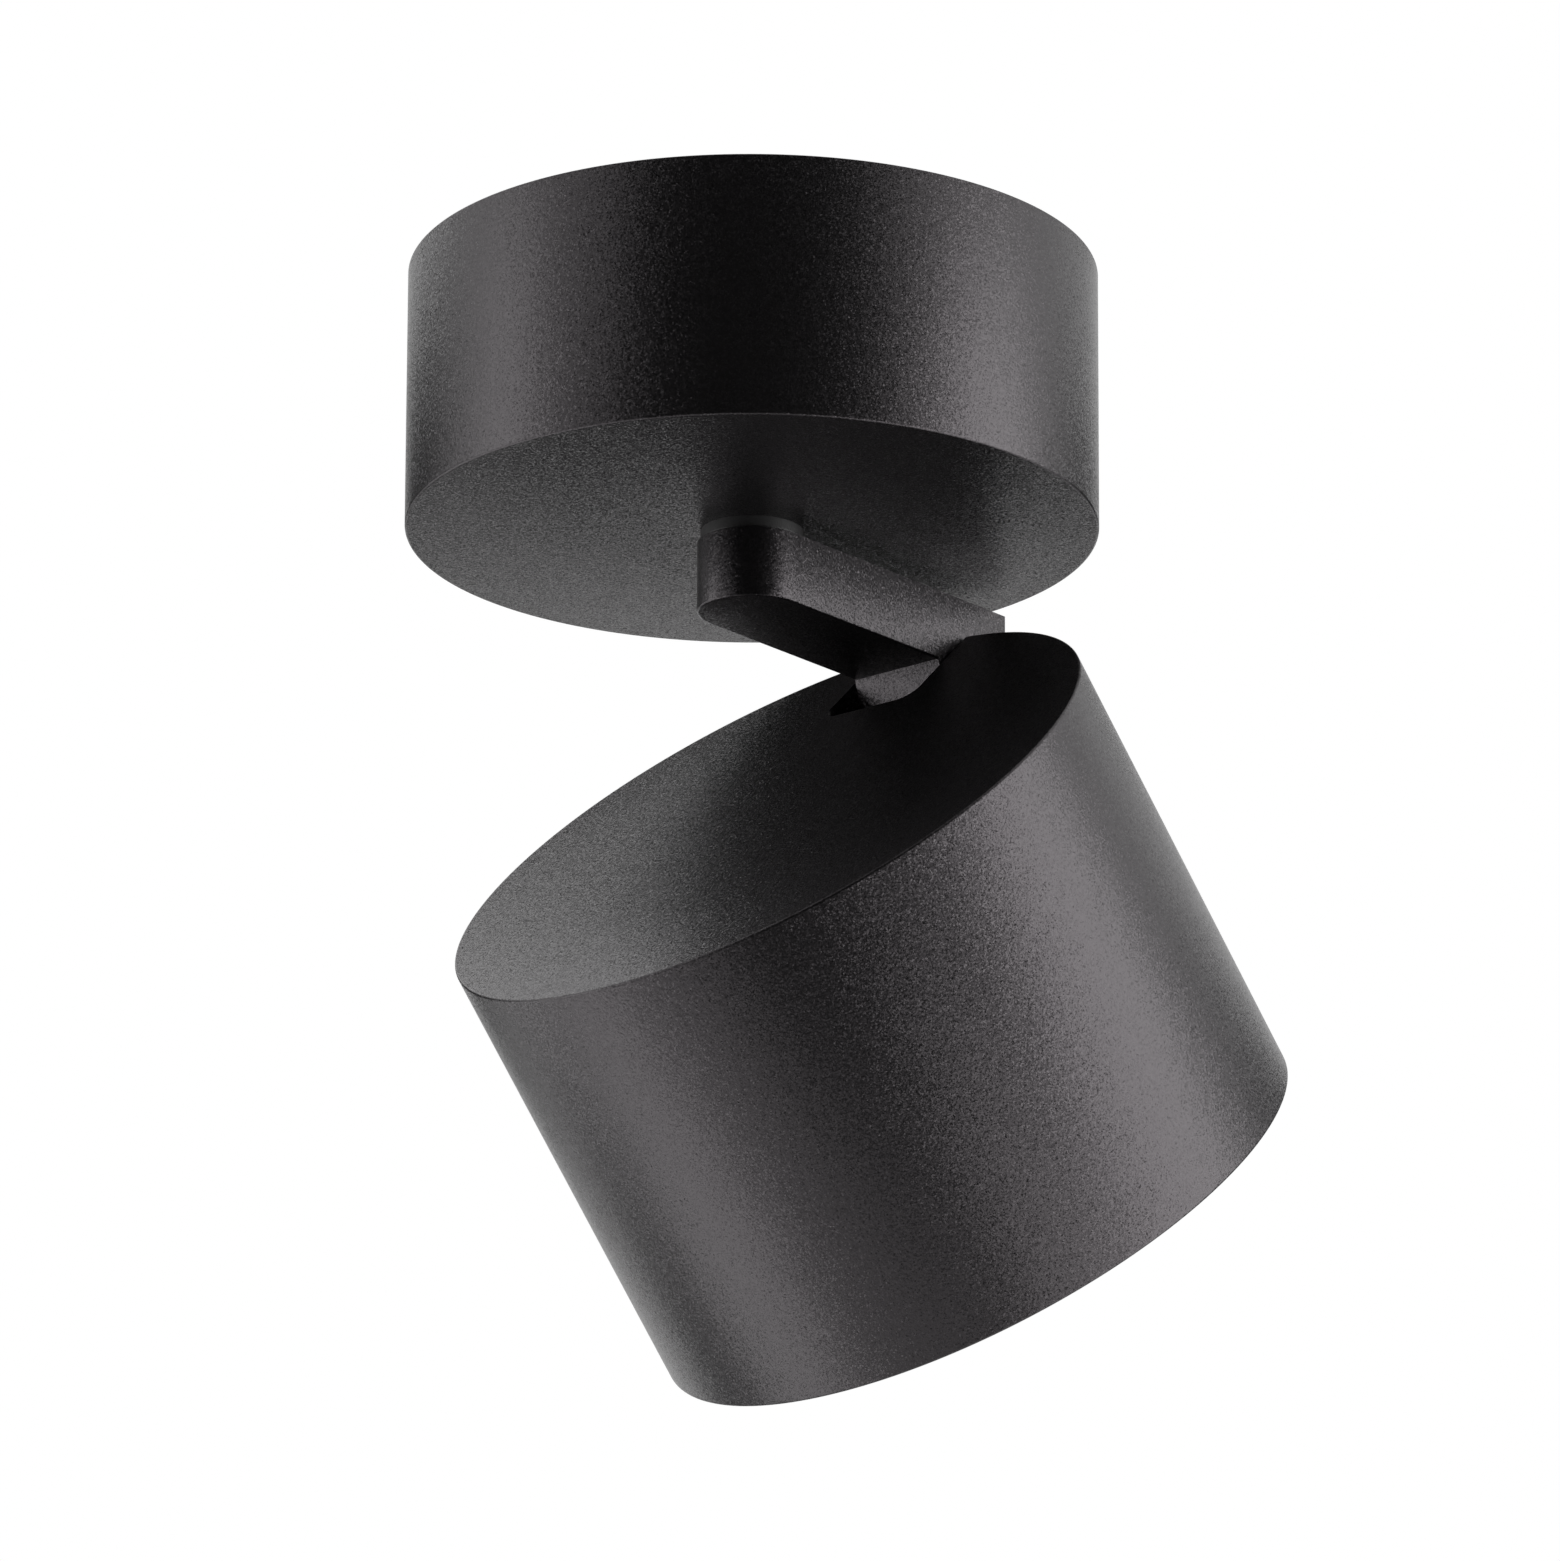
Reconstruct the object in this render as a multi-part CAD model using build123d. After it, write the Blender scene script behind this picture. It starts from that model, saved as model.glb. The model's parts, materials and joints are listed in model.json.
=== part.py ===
from build123d import *

import os
from math import cos, radians, sin, sqrt

# Surface-mounted spotlight: a round canopy, a swivel arm under it and a tilting round head.
# Lengths are millimetres. The origin is the centre of the ceiling plane, +Z points up and
# the arm points along +X. The head is drawn level and then tilted about its hinge.

# Canopy shell
canopy_diameter = 100.0
canopy_height = 39.0
canopy_wall = 2.5
canopy_floor = 3.5
shell_edge = 0.4

# Ceiling bracket inside the canopy
bracket_width = 16.0
bracket_thickness = 1.5
bracket_gap = 1.6
bracket_tab_drop = 13.0
lock_height = 8.0
ceiling_screw_spacing = 60.0
ceiling_slot_width = 4.8
ceiling_slot_length = 12.0
lock_screw_diameter = 4.0
lock_screw_length = 7.0
lock_screw_inset = 0.3
hook_pin_diameter = 3.6
hook_pin_bite = 1.2

# Rubber cable grommet in the bracket
cable_hole_diameter = 8.0
grommet_sleeve_wall = 2.0
grommet_flange_width = 2.2
grommet_flange_thickness = 1.5

# Swivel: flanged bush, hollow stud, washers and nuts
bush_flange_diameter = 14.8
bush_flange_thickness = 1.8
bush_sleeve_wall = 1.2
stud_diameter = 10.0
stud_bore_diameter = 6.6
stud_key_flat = 0.8
stud_depth_in_arm = 5.0
stud_end_above_nuts = 1.5
thrust_washer_diameter = 18.0
thrust_washer_thickness = 1.0
stop_washer_diameter = 18.0
stop_washer_thickness = 1.2
stop_finger_reach = 14.5
stop_finger_width = 2.4
stop_boss_diameter = 3.0
stop_boss_radius = 13.0
stop_boss_cover = 1.5
spring_washer_diameter = 17.0
spring_washer_thickness = 0.7
spring_washer_rise = 0.6
swivel_nut_width = 15.0
swivel_nut_height = 4.0
swivel_locknut_height = 3.0

# Driver in the canopy
driver_width = 24.0
driver_height = 22.0
driver_skin = 1.5
driver_cover_height = 6.0
driver_wall_gap = 1.2
driver_nut_gap = 3.0
driver_ear_length = 8.0
driver_ear_width = 9.0
driver_ear_thickness = 2.0
driver_board_thickness = 1.6
driver_board_lift = 3.0
transformer_length = 17.0
transformer_height = 11.0
core_window_share = 0.6
core_yoke_share = 0.2
winding_share = 0.42
capacitor_diameter = 8.0
capacitor_height = 11.0
support_boss_diameter = 7.0
support_boss_clearance = 2.2
standoff_bite = 3.4

# Terminal block in the canopy
terminal_pole_count = 3
terminal_pole_pitch = 9.0
terminal_length = 18.0
terminal_height = 15.0
terminal_end_wall = 0.6
terminal_clamp_width = 5.0
terminal_clamp_height = 7.0
terminal_screw_wall = 0.25
terminal_wire_diameter = 3.4
terminal_wire_height = 6.0
terminal_finger_gap = 1.6

# Earth point in the canopy
earth_screw_diameter = 4.0
earth_head_diameter = 7.0
earth_head_height = 2.2
earth_boss_height = 4.0
earth_washer_thickness = 0.8
earth_x = 29.0
earth_y = -22.0

# Swivel arm
arm_width = 15.7
arm_height = 10.5
arm_overhang = 11.3
arm_end_round = 1.0
arm_edge = 0.35
arm_groove_width = 6.0
arm_groove_depth = 7.4
arm_cover_width = 8.4
arm_cover_thickness = 1.2
arm_cover_ledge = 1.0
arm_cover_screw_diameter = 2.0
arm_bridge_length = 6.0
arm_bridge_thickness = 3.0
lead_hole_diameter = 4.0
lead_hole_wall = 1.0

# Hinge between the arm's knuckle and the head
hinge_rim_inset = 12.8
hinge_depth = 10.25
head_gap = 0.6
rest_tilt = 44.1
knuckle_radius = 4.4
knuckle_lean = 15.0
knuckle_heel_round = 5.0
hinge_bolt_diameter = 4.0
hinge_bush_wall = 1.0
hinge_bush_length = 5.0
hinge_flange_diameter = 9.0
hinge_bolt_head_height = 2.4
hinge_socket_width = 2.5
hinge_nut_width = 7.0
hinge_nut_height = 3.2
hinge_spring_thickness = 0.5
hinge_spring_rise = 0.4
hinge_bolt_end = 1.0

# Head shell
head_diameter = 100.0
head_height = 68.7
head_wall = 2.5
head_top = 3.0
notch_back = 6.1
notch_side_gap = 0.55
notch_corner = 3.0
notch_below_hinge = 12.1

# Hinge bracket under the notch
pocket_recess = 0.2
pocket_wall = 2.0
pocket_floor_gap = 0.7
pocket_flange = 1.5
pocket_flange_width = 11.4
lead_grommet_bore = 4.0
lead_grommet_wall = 1.0
lead_grommet_lip = 1.2
lead_grommet_depth = 16.0

# Light engine in the head
sink_depth = 27.0
sink_thickness = 5.0
sink_fin_thickness = 2.0
sink_fin_pitch = 6.0
sink_fin_height = 20.0
sink_lead_hole = 6.0
post_diameter = 8.0
post_inset = 7.5
post_count = 3
post_start_angle = 60.0
pad_size = 22.0
pad_thickness = 0.4
board_size = 20.0
board_thickness = 1.5
emitter_diameter = 14.0
emitter_thickness = 0.7
holder_diameter = 40.0
holder_height = 5.0
holder_opening = 19.0
holder_screw_radius = 15.5
holder_screw_bite = 4.0
optic_gap = 1.0
reflector_shell = 1.4
reflector_waist_share = 0.59
reflector_waist_drop = 7.4
gasket_thickness = 0.8
gasket_width = 4.0
glass_thickness = 3.0
ring_recess = 0.8
ring_thickness = 5.5
ring_face_width = 7.5
ring_lip = 2.0
spanner_slot_width = 2.5
spanner_slot_depth = 1.5

# Screws
small_screw_diameter = 3.0
small_head_diameter = 5.5
small_head_height = 1.8
screw_bite = 5.0
shallow_bite = 2.2
recess_span_share = 1.1
recess_depth_share = 0.6

# Clearances
run_gap = 0.05
seat_gap = 0.03
free_gap = 0.3
screw_gap = 0.2
socket_depth = 1.2
socket_width = 1.6
cut_over = 1.0
same_place = 0.01

# Radii and heights that follow from the sizes above
canopy_radius = canopy_diameter / 2
canopy_inner = canopy_radius - canopy_wall
floor_bottom = -canopy_height
floor_top = floor_bottom + canopy_floor
stud_radius = stud_diameter / 2
bush_bore = stud_radius + run_gap
bush_sleeve = bush_bore + bush_sleeve_wall
arm_top = floor_bottom - bush_flange_thickness - run_gap
arm_bottom = arm_top - arm_height
half_arm = arm_width / 2
thrust_top = floor_top + thrust_washer_thickness
stop_low = thrust_top + run_gap
stop_high = stop_low + stop_washer_thickness
spring_high = stop_high + spring_washer_thickness + spring_washer_rise
nut_high = spring_high + swivel_nut_height
locknut_high = nut_high + swivel_locknut_height
stud_top = locknut_high + stud_end_above_nuts
stud_bottom = arm_top - stud_depth_in_arm
head_radius = head_diameter / 2
head_inner = head_radius - head_wall
hinge_reach = head_radius - hinge_rim_inset
arm_reach = hinge_reach + arm_overhang
head_level_top = arm_bottom - head_gap
head_level_bottom = head_level_top - head_height
hinge_height = head_level_top - hinge_depth
notch_inner = hinge_reach - notch_back
notch_half = half_arm + notch_side_gap
notch_depth = hinge_depth + notch_below_hinge
pocket_half = notch_half + pocket_recess
pocket_outer = pocket_half + pocket_wall
pocket_floor = head_level_top - notch_depth - pocket_floor_gap
head_ceiling = head_level_top - head_top
post_circle = head_inner - post_inset
sink_top = head_level_top - sink_depth
sink_bottom = sink_top - sink_thickness
small_screw_radius = small_screw_diameter / 2
small_head_radius = small_head_diameter / 2

UPRIGHT = (Align.CENTER, Align.CENTER, Align.MIN)


def rod(radius, low, high, x=0.0, y=0.0):
    """Upright cylinder between two heights."""
    return Pos(x, y, low) * Cylinder(radius, high - low, align=UPRIGHT)


def rod_x(radius, start, end, y=0.0, z=0.0):
    """Cylinder lying along X."""
    return Pos(start, y, z) * Rot(0, 90, 0) * Cylinder(radius, end - start, align=UPRIGHT)


def rod_y(radius, start, end, x=0.0, z=0.0):
    """Cylinder lying along Y."""
    return Pos(x, start, z) * Rot(-90, 0, 0) * Cylinder(radius, end - start, align=UPRIGHT)


def ring(outer, inner, low, high, x=0.0, y=0.0):
    """Upright tube between two heights."""
    return rod(outer, low, high, x, y) - rod(inner, low, high, x, y)


def block(x_low, x_high, y_low, y_high, z_low, z_high):
    """Box between two corners."""
    size = (x_high - x_low, y_high - y_low, z_high - z_low)
    middle = ((x_low + x_high) / 2, (y_low + y_high) / 2, (z_low + z_high) / 2)
    return Pos(*middle) * Box(*size)


def turned(*lines):
    """Solid of revolution about Z from a closed outline in the XZ plane."""
    outline = Plane.XZ * make_face(Curve() + list(lines))
    return revolve(outline, Axis.Z)


def disc_spring(outer, inner, thickness, rise, low):
    """Conical spring washer, its rim down."""
    outline = Polyline(
        (inner, low + rise),
        (inner, low + rise + thickness),
        (outer, low + thickness),
        (outer, low),
        close=True,
    )
    return turned(outline)


def hex_prism(width, low, high):
    """Upright hexagon by its width across flats."""
    return Pos(0, 0, low) * extrude(RegularPolygon(width / 2, 6, major_radius=False), high - low)


def pan_screw(shank_radius, shank_length, head_radius, head_height):
    """Screw with its head's seat at the origin, shank down, and a cross recess in the head."""
    body = rod(shank_radius, -shank_length, 0) + rod(head_radius, 0, head_height)
    rim = body.edges().group_by(Axis.Z)[-1]
    body = fillet(rim, head_height / 3)
    span = head_radius * recess_span_share
    depth = min(socket_depth, head_height * recess_depth_share)
    arm_one = Box(span, socket_width / 2, 2 * depth)
    arm_two = Box(socket_width / 2, span, 2 * depth)
    return body - Pos(0, 0, head_height) * (arm_one + arm_two)


def around(count, radius, start_angle):
    """Evenly spaced points on a circle."""
    angles = [radians(start_angle + index * 360.0 / count) for index in range(count)]
    return [(radius * cos(angle), radius * sin(angle)) for angle in angles]


def group(shapes):
    """Separate solids kept in one node."""
    return Compound([solid for shape in shapes for solid in shape.solids()])


def tilted(shape):
    """Turns a piece of the level head to the tilt at which it rests."""
    hinge = Pos(hinge_reach, 0, hinge_height)
    return hinge * Rot(0, -rest_tilt, 0) * hinge.inverse() * shape


# Places inside the canopy
nut_corner = swivel_nut_width / sqrt(3)
driver_near = nut_corner + driver_nut_gap
driver_far = driver_near + driver_width
driver_half = sqrt((canopy_inner - driver_wall_gap) ** 2 - driver_far**2)
support_top = stop_high + support_boss_clearance
driver_top = support_top + driver_height
ear_x = driver_half + driver_ear_length / 2
ear_y = driver_near + driver_ear_width / 2 + driver_skin
terminal_half = terminal_pole_count * terminal_pole_pitch / 2 + terminal_end_wall
terminal_near = -(stop_finger_reach + terminal_finger_gap)
terminal_far = terminal_near - terminal_length
terminal_middle = (terminal_near + terminal_far) / 2
terminal_top = floor_top + terminal_height
terminal_fix_x = terminal_pole_pitch / 2
standoff_places = ((-ear_x, ear_y), (ear_x, ear_y), (earth_x, earth_y), (-stop_boss_radius, 0.0))
tab_outer = canopy_inner - bracket_gap
tab_inner = tab_outer - bracket_thickness


def make_canopy_cup():
    """Round cup: floor below, rim against the ceiling, blind holes for the standoffs on its floor."""
    outside = rod(canopy_radius, floor_bottom, 0)
    outside = fillet(outside.edges().group_by(Axis.Z)[0], shell_edge)
    cup = outside - rod(canopy_inner, floor_top, 0)
    cup -= rod(bush_sleeve + seat_gap, floor_bottom, floor_top)
    for x, y in standoff_places:
        cup -= rod(small_screw_radius + seat_gap, floor_top - shallow_bite, floor_top, x, y)
    cup -= rod(
        small_screw_radius + seat_gap, floor_top - shallow_bite, floor_top, terminal_fix_x, terminal_middle
    )
    lock_hole = lock_screw_diameter / 2 + screw_gap
    cup -= rod_x(lock_hole, canopy_inner - cut_over, canopy_radius + cut_over, 0, -lock_height)
    cup -= rod_x(
        hook_pin_diameter / 2 + screw_gap,
        -canopy_inner - hook_pin_bite - free_gap,
        -canopy_inner + cut_over,
        0,
        -lock_height,
    )
    return cup


def make_mounting_bracket():
    """Steel strip against the ceiling, and its two bent tabs: one threaded, one with a hook pin."""
    half = bracket_width / 2
    strip = block(-tab_outer, tab_outer, -half, half, -bracket_thickness, 0)
    bends = [
        edge
        for edge in strip.edges().filter_by(Axis.Y)
        if abs(abs(edge.center().X) - tab_outer) < same_place and abs(edge.center().Z) < same_place
    ]
    strip = fillet(bends, bracket_thickness - same_place)
    slot = SlotOverall(ceiling_slot_length, ceiling_slot_width)
    for side in (-1, 1):
        cutter = extrude(slot, bracket_thickness)
        strip -= Pos(side * ceiling_screw_spacing / 2, 0, -bracket_thickness) * cutter
    strip -= rod(cable_hole_diameter / 2 + grommet_sleeve_wall + seat_gap, -bracket_thickness, 0)

    hook_tab = block(-tab_outer, -tab_inner, -half, half, -bracket_tab_drop, -bracket_thickness)
    hook_tab += rod_x(
        hook_pin_diameter / 2, -canopy_inner - hook_pin_bite, -tab_inner, 0, -lock_height
    )
    lock_tab = block(tab_inner, tab_outer, -half, half, -bracket_tab_drop, -bracket_thickness)
    lock_thread = lock_screw_diameter / 2 + seat_gap
    lock_tab -= rod_x(lock_thread, tab_inner - cut_over, tab_outer + cut_over, 0, -lock_height)
    return {"mounting_bracket": strip, "bracket_tabs": group([hook_tab, lock_tab])}


def make_standoffs():
    """Standoffs for the driver and the earth screw, and the swivel's stop pin, set in the cup's floor."""
    spigot_low = floor_top - shallow_bite + free_gap
    driver_standoffs = []
    for side in (-1, 1):
        pillar = rod(support_boss_diameter / 2, floor_top, support_top, side * ear_x, ear_y)
        pillar += rod(small_screw_radius, spigot_low, floor_top, side * ear_x, ear_y)
        thread = small_screw_radius + seat_gap
        pillar -= rod(thread, support_top - standoff_bite, support_top, side * ear_x, ear_y)
        driver_standoffs.append(pillar)
    earth_top = floor_top + earth_boss_height
    earth = rod(support_boss_diameter / 2, floor_top, earth_top, earth_x, earth_y)
    earth += rod(small_screw_radius, spigot_low, floor_top, earth_x, earth_y)
    earth -= rod(earth_screw_diameter / 2 + seat_gap, earth_top - standoff_bite, earth_top, earth_x, earth_y)
    pin = rod(stop_boss_diameter / 2, spigot_low, stop_high + stop_boss_cover, -stop_boss_radius)
    return {"driver_standoffs": group(driver_standoffs), "earth_standoff": earth, "stop_pin": pin}


def make_canopy_lock_screw():
    """Socket set screw through the cup's wall into the bracket's tab."""
    outer_end = canopy_radius - lock_screw_inset
    screw = rod_x(lock_screw_diameter / 2, outer_end - lock_screw_length, outer_end, 0, -lock_height)
    socket = hex_prism(lock_screw_diameter / 2, 0, lock_screw_diameter / 2)
    return screw - Pos(outer_end - lock_screw_diameter / 2, 0, -lock_height) * Rot(0, 90, 0) * socket


def make_cable_grommet():
    """Push-in rubber grommet for the supply cable, flange under the bracket."""
    bore = cable_hole_diameter / 2
    sleeve = bore + grommet_sleeve_wall
    flange_low = -bracket_thickness - grommet_flange_thickness
    body = rod(sleeve, -bracket_thickness, 0)
    body += rod(sleeve + grommet_flange_width, flange_low, -bracket_thickness)
    body = fillet(body.edges().group_by(Axis.Z)[0], grommet_flange_thickness / 2)
    return body - rod(bore, flange_low, 0)


def make_swivel_bush():
    """Flanged nylon bush: its flange shows between canopy and arm."""
    body = rod(bush_flange_diameter / 2, floor_bottom - bush_flange_thickness, floor_bottom)
    body += rod(bush_sleeve, floor_bottom, floor_top)
    return body - rod(bush_bore, floor_bottom - bush_flange_thickness, floor_top)


def make_driver():
    """Driver case with ears, its cover, and the board and parts inside it."""
    seam = driver_top - driver_cover_height
    case = block(-driver_half, driver_half, driver_near, driver_far, support_top, seam)
    case = fillet(case.edges().filter_by(Axis.Z), driver_skin)
    inside_half = driver_half - driver_skin
    inside_near = driver_near + driver_skin
    inside_far = driver_far - driver_skin
    case -= block(
        -inside_half, inside_half, inside_near, inside_far, support_top + driver_skin, seam
    )
    for side in (-1, 1):
        root, tip = driver_half - driver_skin / 2, driver_half + driver_ear_length
        low, high = sorted((side * root, side * tip))
        ear = block(
            low,
            high,
            ear_y - driver_ear_width / 2,
            ear_y + driver_ear_width / 2,
            support_top,
            support_top + driver_ear_thickness,
        )
        case += ear
        case -= rod(
            small_screw_radius + screw_gap,
            support_top,
            support_top + driver_ear_thickness,
            side * ear_x,
            ear_y,
        )
    ledge = support_top + driver_skin + driver_board_lift
    for side in (-1, 1):
        low, high = sorted((side * inside_half, side * (inside_half - driver_skin)))
        case += block(low, high, inside_near, inside_far, support_top + driver_skin, ledge)

    cover = block(-driver_half, driver_half, driver_near, driver_far, seam, driver_top)
    cover = fillet(cover.edges().filter_by(Axis.Z), driver_skin)
    cover = fillet(cover.edges().group_by(Axis.Z)[-1], driver_skin / 2)
    cover -= block(
        -inside_half, inside_half, inside_near, inside_far, seam, driver_top - driver_skin
    )

    board_top = ledge + driver_board_thickness
    board = block(
        -inside_half + free_gap,
        inside_half - free_gap,
        inside_near + free_gap,
        inside_far - free_gap,
        ledge,
        board_top,
    )

    middle_y = (driver_near + driver_far) / 2
    half_core = transformer_length / 2
    core_high = board_top + transformer_height
    core_near = middle_y - half_core / 2
    core_far = middle_y + half_core / 2
    half_window = half_core * core_window_share
    yoke = transformer_height * core_yoke_share
    core = block(-half_core, half_core, core_near, core_far, board_top, core_high)
    winding = rod_x(
        transformer_height * winding_share,
        -half_window,
        half_window,
        middle_y,
        board_top + transformer_height / 2,
    )
    windows = block(-half_window, half_window, core_near, core_far, board_top + yoke, core_high - yoke)
    transformer = core - windows + winding

    can_x = (half_core + inside_half) / 2
    cans = []
    for side in (-1, 1):
        can = rod(capacitor_diameter / 2, board_top, board_top + capacitor_height, side * can_x, middle_y)
        cans.append(fillet(can.edges().group_by(Axis.Z)[-1], capacitor_diameter / 12))

    screws = []
    seat = support_top + driver_ear_thickness
    length = driver_ear_thickness + standoff_bite - free_gap
    screw = pan_screw(small_screw_radius, length, small_head_radius, small_head_height)
    for side in (-1, 1):
        screws.append(Pos(side * ear_x, ear_y, seat) * screw)
    return {
        "driver_case": case,
        "driver_cover": cover,
        "driver_board": board,
        "driver_transformer": transformer,
        "driver_capacitors": group(cans),
        "driver_screws": group(screws),
    }


def make_terminal():
    """Screw terminal block: moulded body, brass clamps, clamp screws and the screw that holds it."""
    body = block(-terminal_half, terminal_half, terminal_far, terminal_near, floor_top, terminal_top)
    body = fillet(body.edges().filter_by(Axis.Z), terminal_end_wall)
    wire_z = floor_top + terminal_wire_height
    clamp_low = wire_z - terminal_clamp_height / 2
    clamp_high = wire_z + terminal_clamp_height / 2
    clamp_half = terminal_clamp_width / 2
    clamp_long = terminal_length / 2 - small_head_radius
    screw_offset = clamp_long - small_screw_radius - terminal_screw_wall
    clamps = []
    screws = []
    first = -(terminal_pole_count - 1) / 2
    for index in range(terminal_pole_count):
        x = (first + index) * terminal_pole_pitch
        body -= block(
            x - clamp_half - seat_gap,
            x + clamp_half + seat_gap,
            terminal_middle - clamp_long - seat_gap,
            terminal_middle + clamp_long + seat_gap,
            clamp_low - seat_gap,
            clamp_high + seat_gap,
        )
        body -= rod_y(terminal_wire_diameter / 2, terminal_far, terminal_near, x, wire_z)
        clamp = block(
            x - clamp_half,
            x + clamp_half,
            terminal_middle - clamp_long,
            terminal_middle + clamp_long,
            clamp_low,
            clamp_high,
        )
        clamp -= rod_y(terminal_wire_diameter / 2, terminal_far, terminal_near, x, wire_z)
        for side in (-1, 1):
            y = terminal_middle + side * screw_offset
            body -= rod(small_screw_radius + screw_gap, clamp_high, terminal_top, x, y)
            clamp -= rod(small_screw_radius + seat_gap, wire_z, clamp_high, x, y)
            shank = rod(small_screw_radius, wire_z, terminal_top - socket_depth, x, y)
            slot = block(
                x - small_screw_radius,
                x + small_screw_radius,
                y - socket_width / 4,
                y + socket_width / 4,
                terminal_top - 2 * socket_depth,
                terminal_top,
            )
            screws.append(shank - slot)
        clamps.append(clamp)
    body -= rod(small_screw_radius + screw_gap, floor_top, terminal_top, terminal_fix_x, terminal_middle)
    fix_screw = rod(
        small_screw_radius, floor_top - shallow_bite + free_gap, terminal_top, terminal_fix_x, terminal_middle
    )
    fix_screw += rod(
        terminal_pole_pitch / 2 - small_screw_radius - screw_gap - run_gap,
        terminal_top,
        terminal_top + small_head_height,
        terminal_fix_x,
        terminal_middle,
    )
    return {
        "terminal_block": body,
        "terminal_clamps": group(clamps),
        "terminal_screws": group(screws),
        "terminal_fixing_screw": fix_screw,
    }


def make_earth_point():
    """Earth screw and its washer on their standoff."""
    seat = floor_top + earth_boss_height
    radius = earth_screw_diameter / 2
    head_seat = seat + earth_washer_thickness
    washer = ring(earth_screw_diameter, radius + seat_gap, seat, head_seat, earth_x, earth_y)
    length = standoff_bite + earth_washer_thickness - free_gap
    screw = pan_screw(radius, length, earth_head_diameter / 2, earth_head_height)
    return {
        "earth_washer": washer,
        "earth_screw": Pos(earth_x, earth_y, head_seat) * screw,
    }


def make_swivel_hardware():
    """Hollow stud fixed in the arm, with the washers and nuts that hold it in the canopy's floor."""
    stud = ring(stud_radius, stud_bore_diameter / 2, stud_bottom, stud_top)
    flat_depth = stud_radius - stud_key_flat
    flat = block(-stud_radius, stud_radius, -2 * stud_radius, -flat_depth, stop_low, stud_top)
    stud -= flat
    thrust = ring(thrust_washer_diameter / 2, bush_bore, floor_top, thrust_top)
    stop = rod(stop_washer_diameter / 2, stop_low, stop_high)
    stop += block(
        0, stop_finger_reach, -stop_finger_width / 2, stop_finger_width / 2, stop_low, stop_high
    )
    keyed_hole = rod(stud_radius + seat_gap, stop_low, stop_high)
    keyed_hole -= block(
        -2 * stud_radius, 2 * stud_radius, -2 * stud_radius, -flat_depth - seat_gap, stop_low, stop_high
    )
    stop -= keyed_hole
    thread = stud_radius + seat_gap
    spring = disc_spring(
        spring_washer_diameter / 2, thread, spring_washer_thickness, spring_washer_rise, stop_high
    )
    nut = hex_prism(swivel_nut_width, spring_high, nut_high) - rod(thread, spring_high, nut_high)
    locknut = hex_prism(swivel_nut_width, nut_high, locknut_high) - rod(thread, nut_high, locknut_high)
    return {
        "swivel_stud": stud,
        "thrust_washer": thrust,
        "stop_washer": stop,
        "spring_washer": spring,
        "swivel_nuts": group([nut, locknut]),
    }


# Places in the arm
knuckle_front = hinge_reach - knuckle_radius
knuckle_low = hinge_height - knuckle_radius
hinge_bore = hinge_bolt_diameter / 2 + run_gap + hinge_bush_wall
lead_hole_x = hinge_reach + hinge_bore + lead_hole_wall + lead_hole_diameter / 2
groove_end = lead_hole_x + lead_hole_diameter / 2
cover_start = bush_flange_diameter / 2 + free_gap
cover_end = groove_end + arm_cover_ledge
cover_low = arm_top - arm_cover_thickness
cover_screw_x = (cover_start + cover_end) / 2


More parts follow.
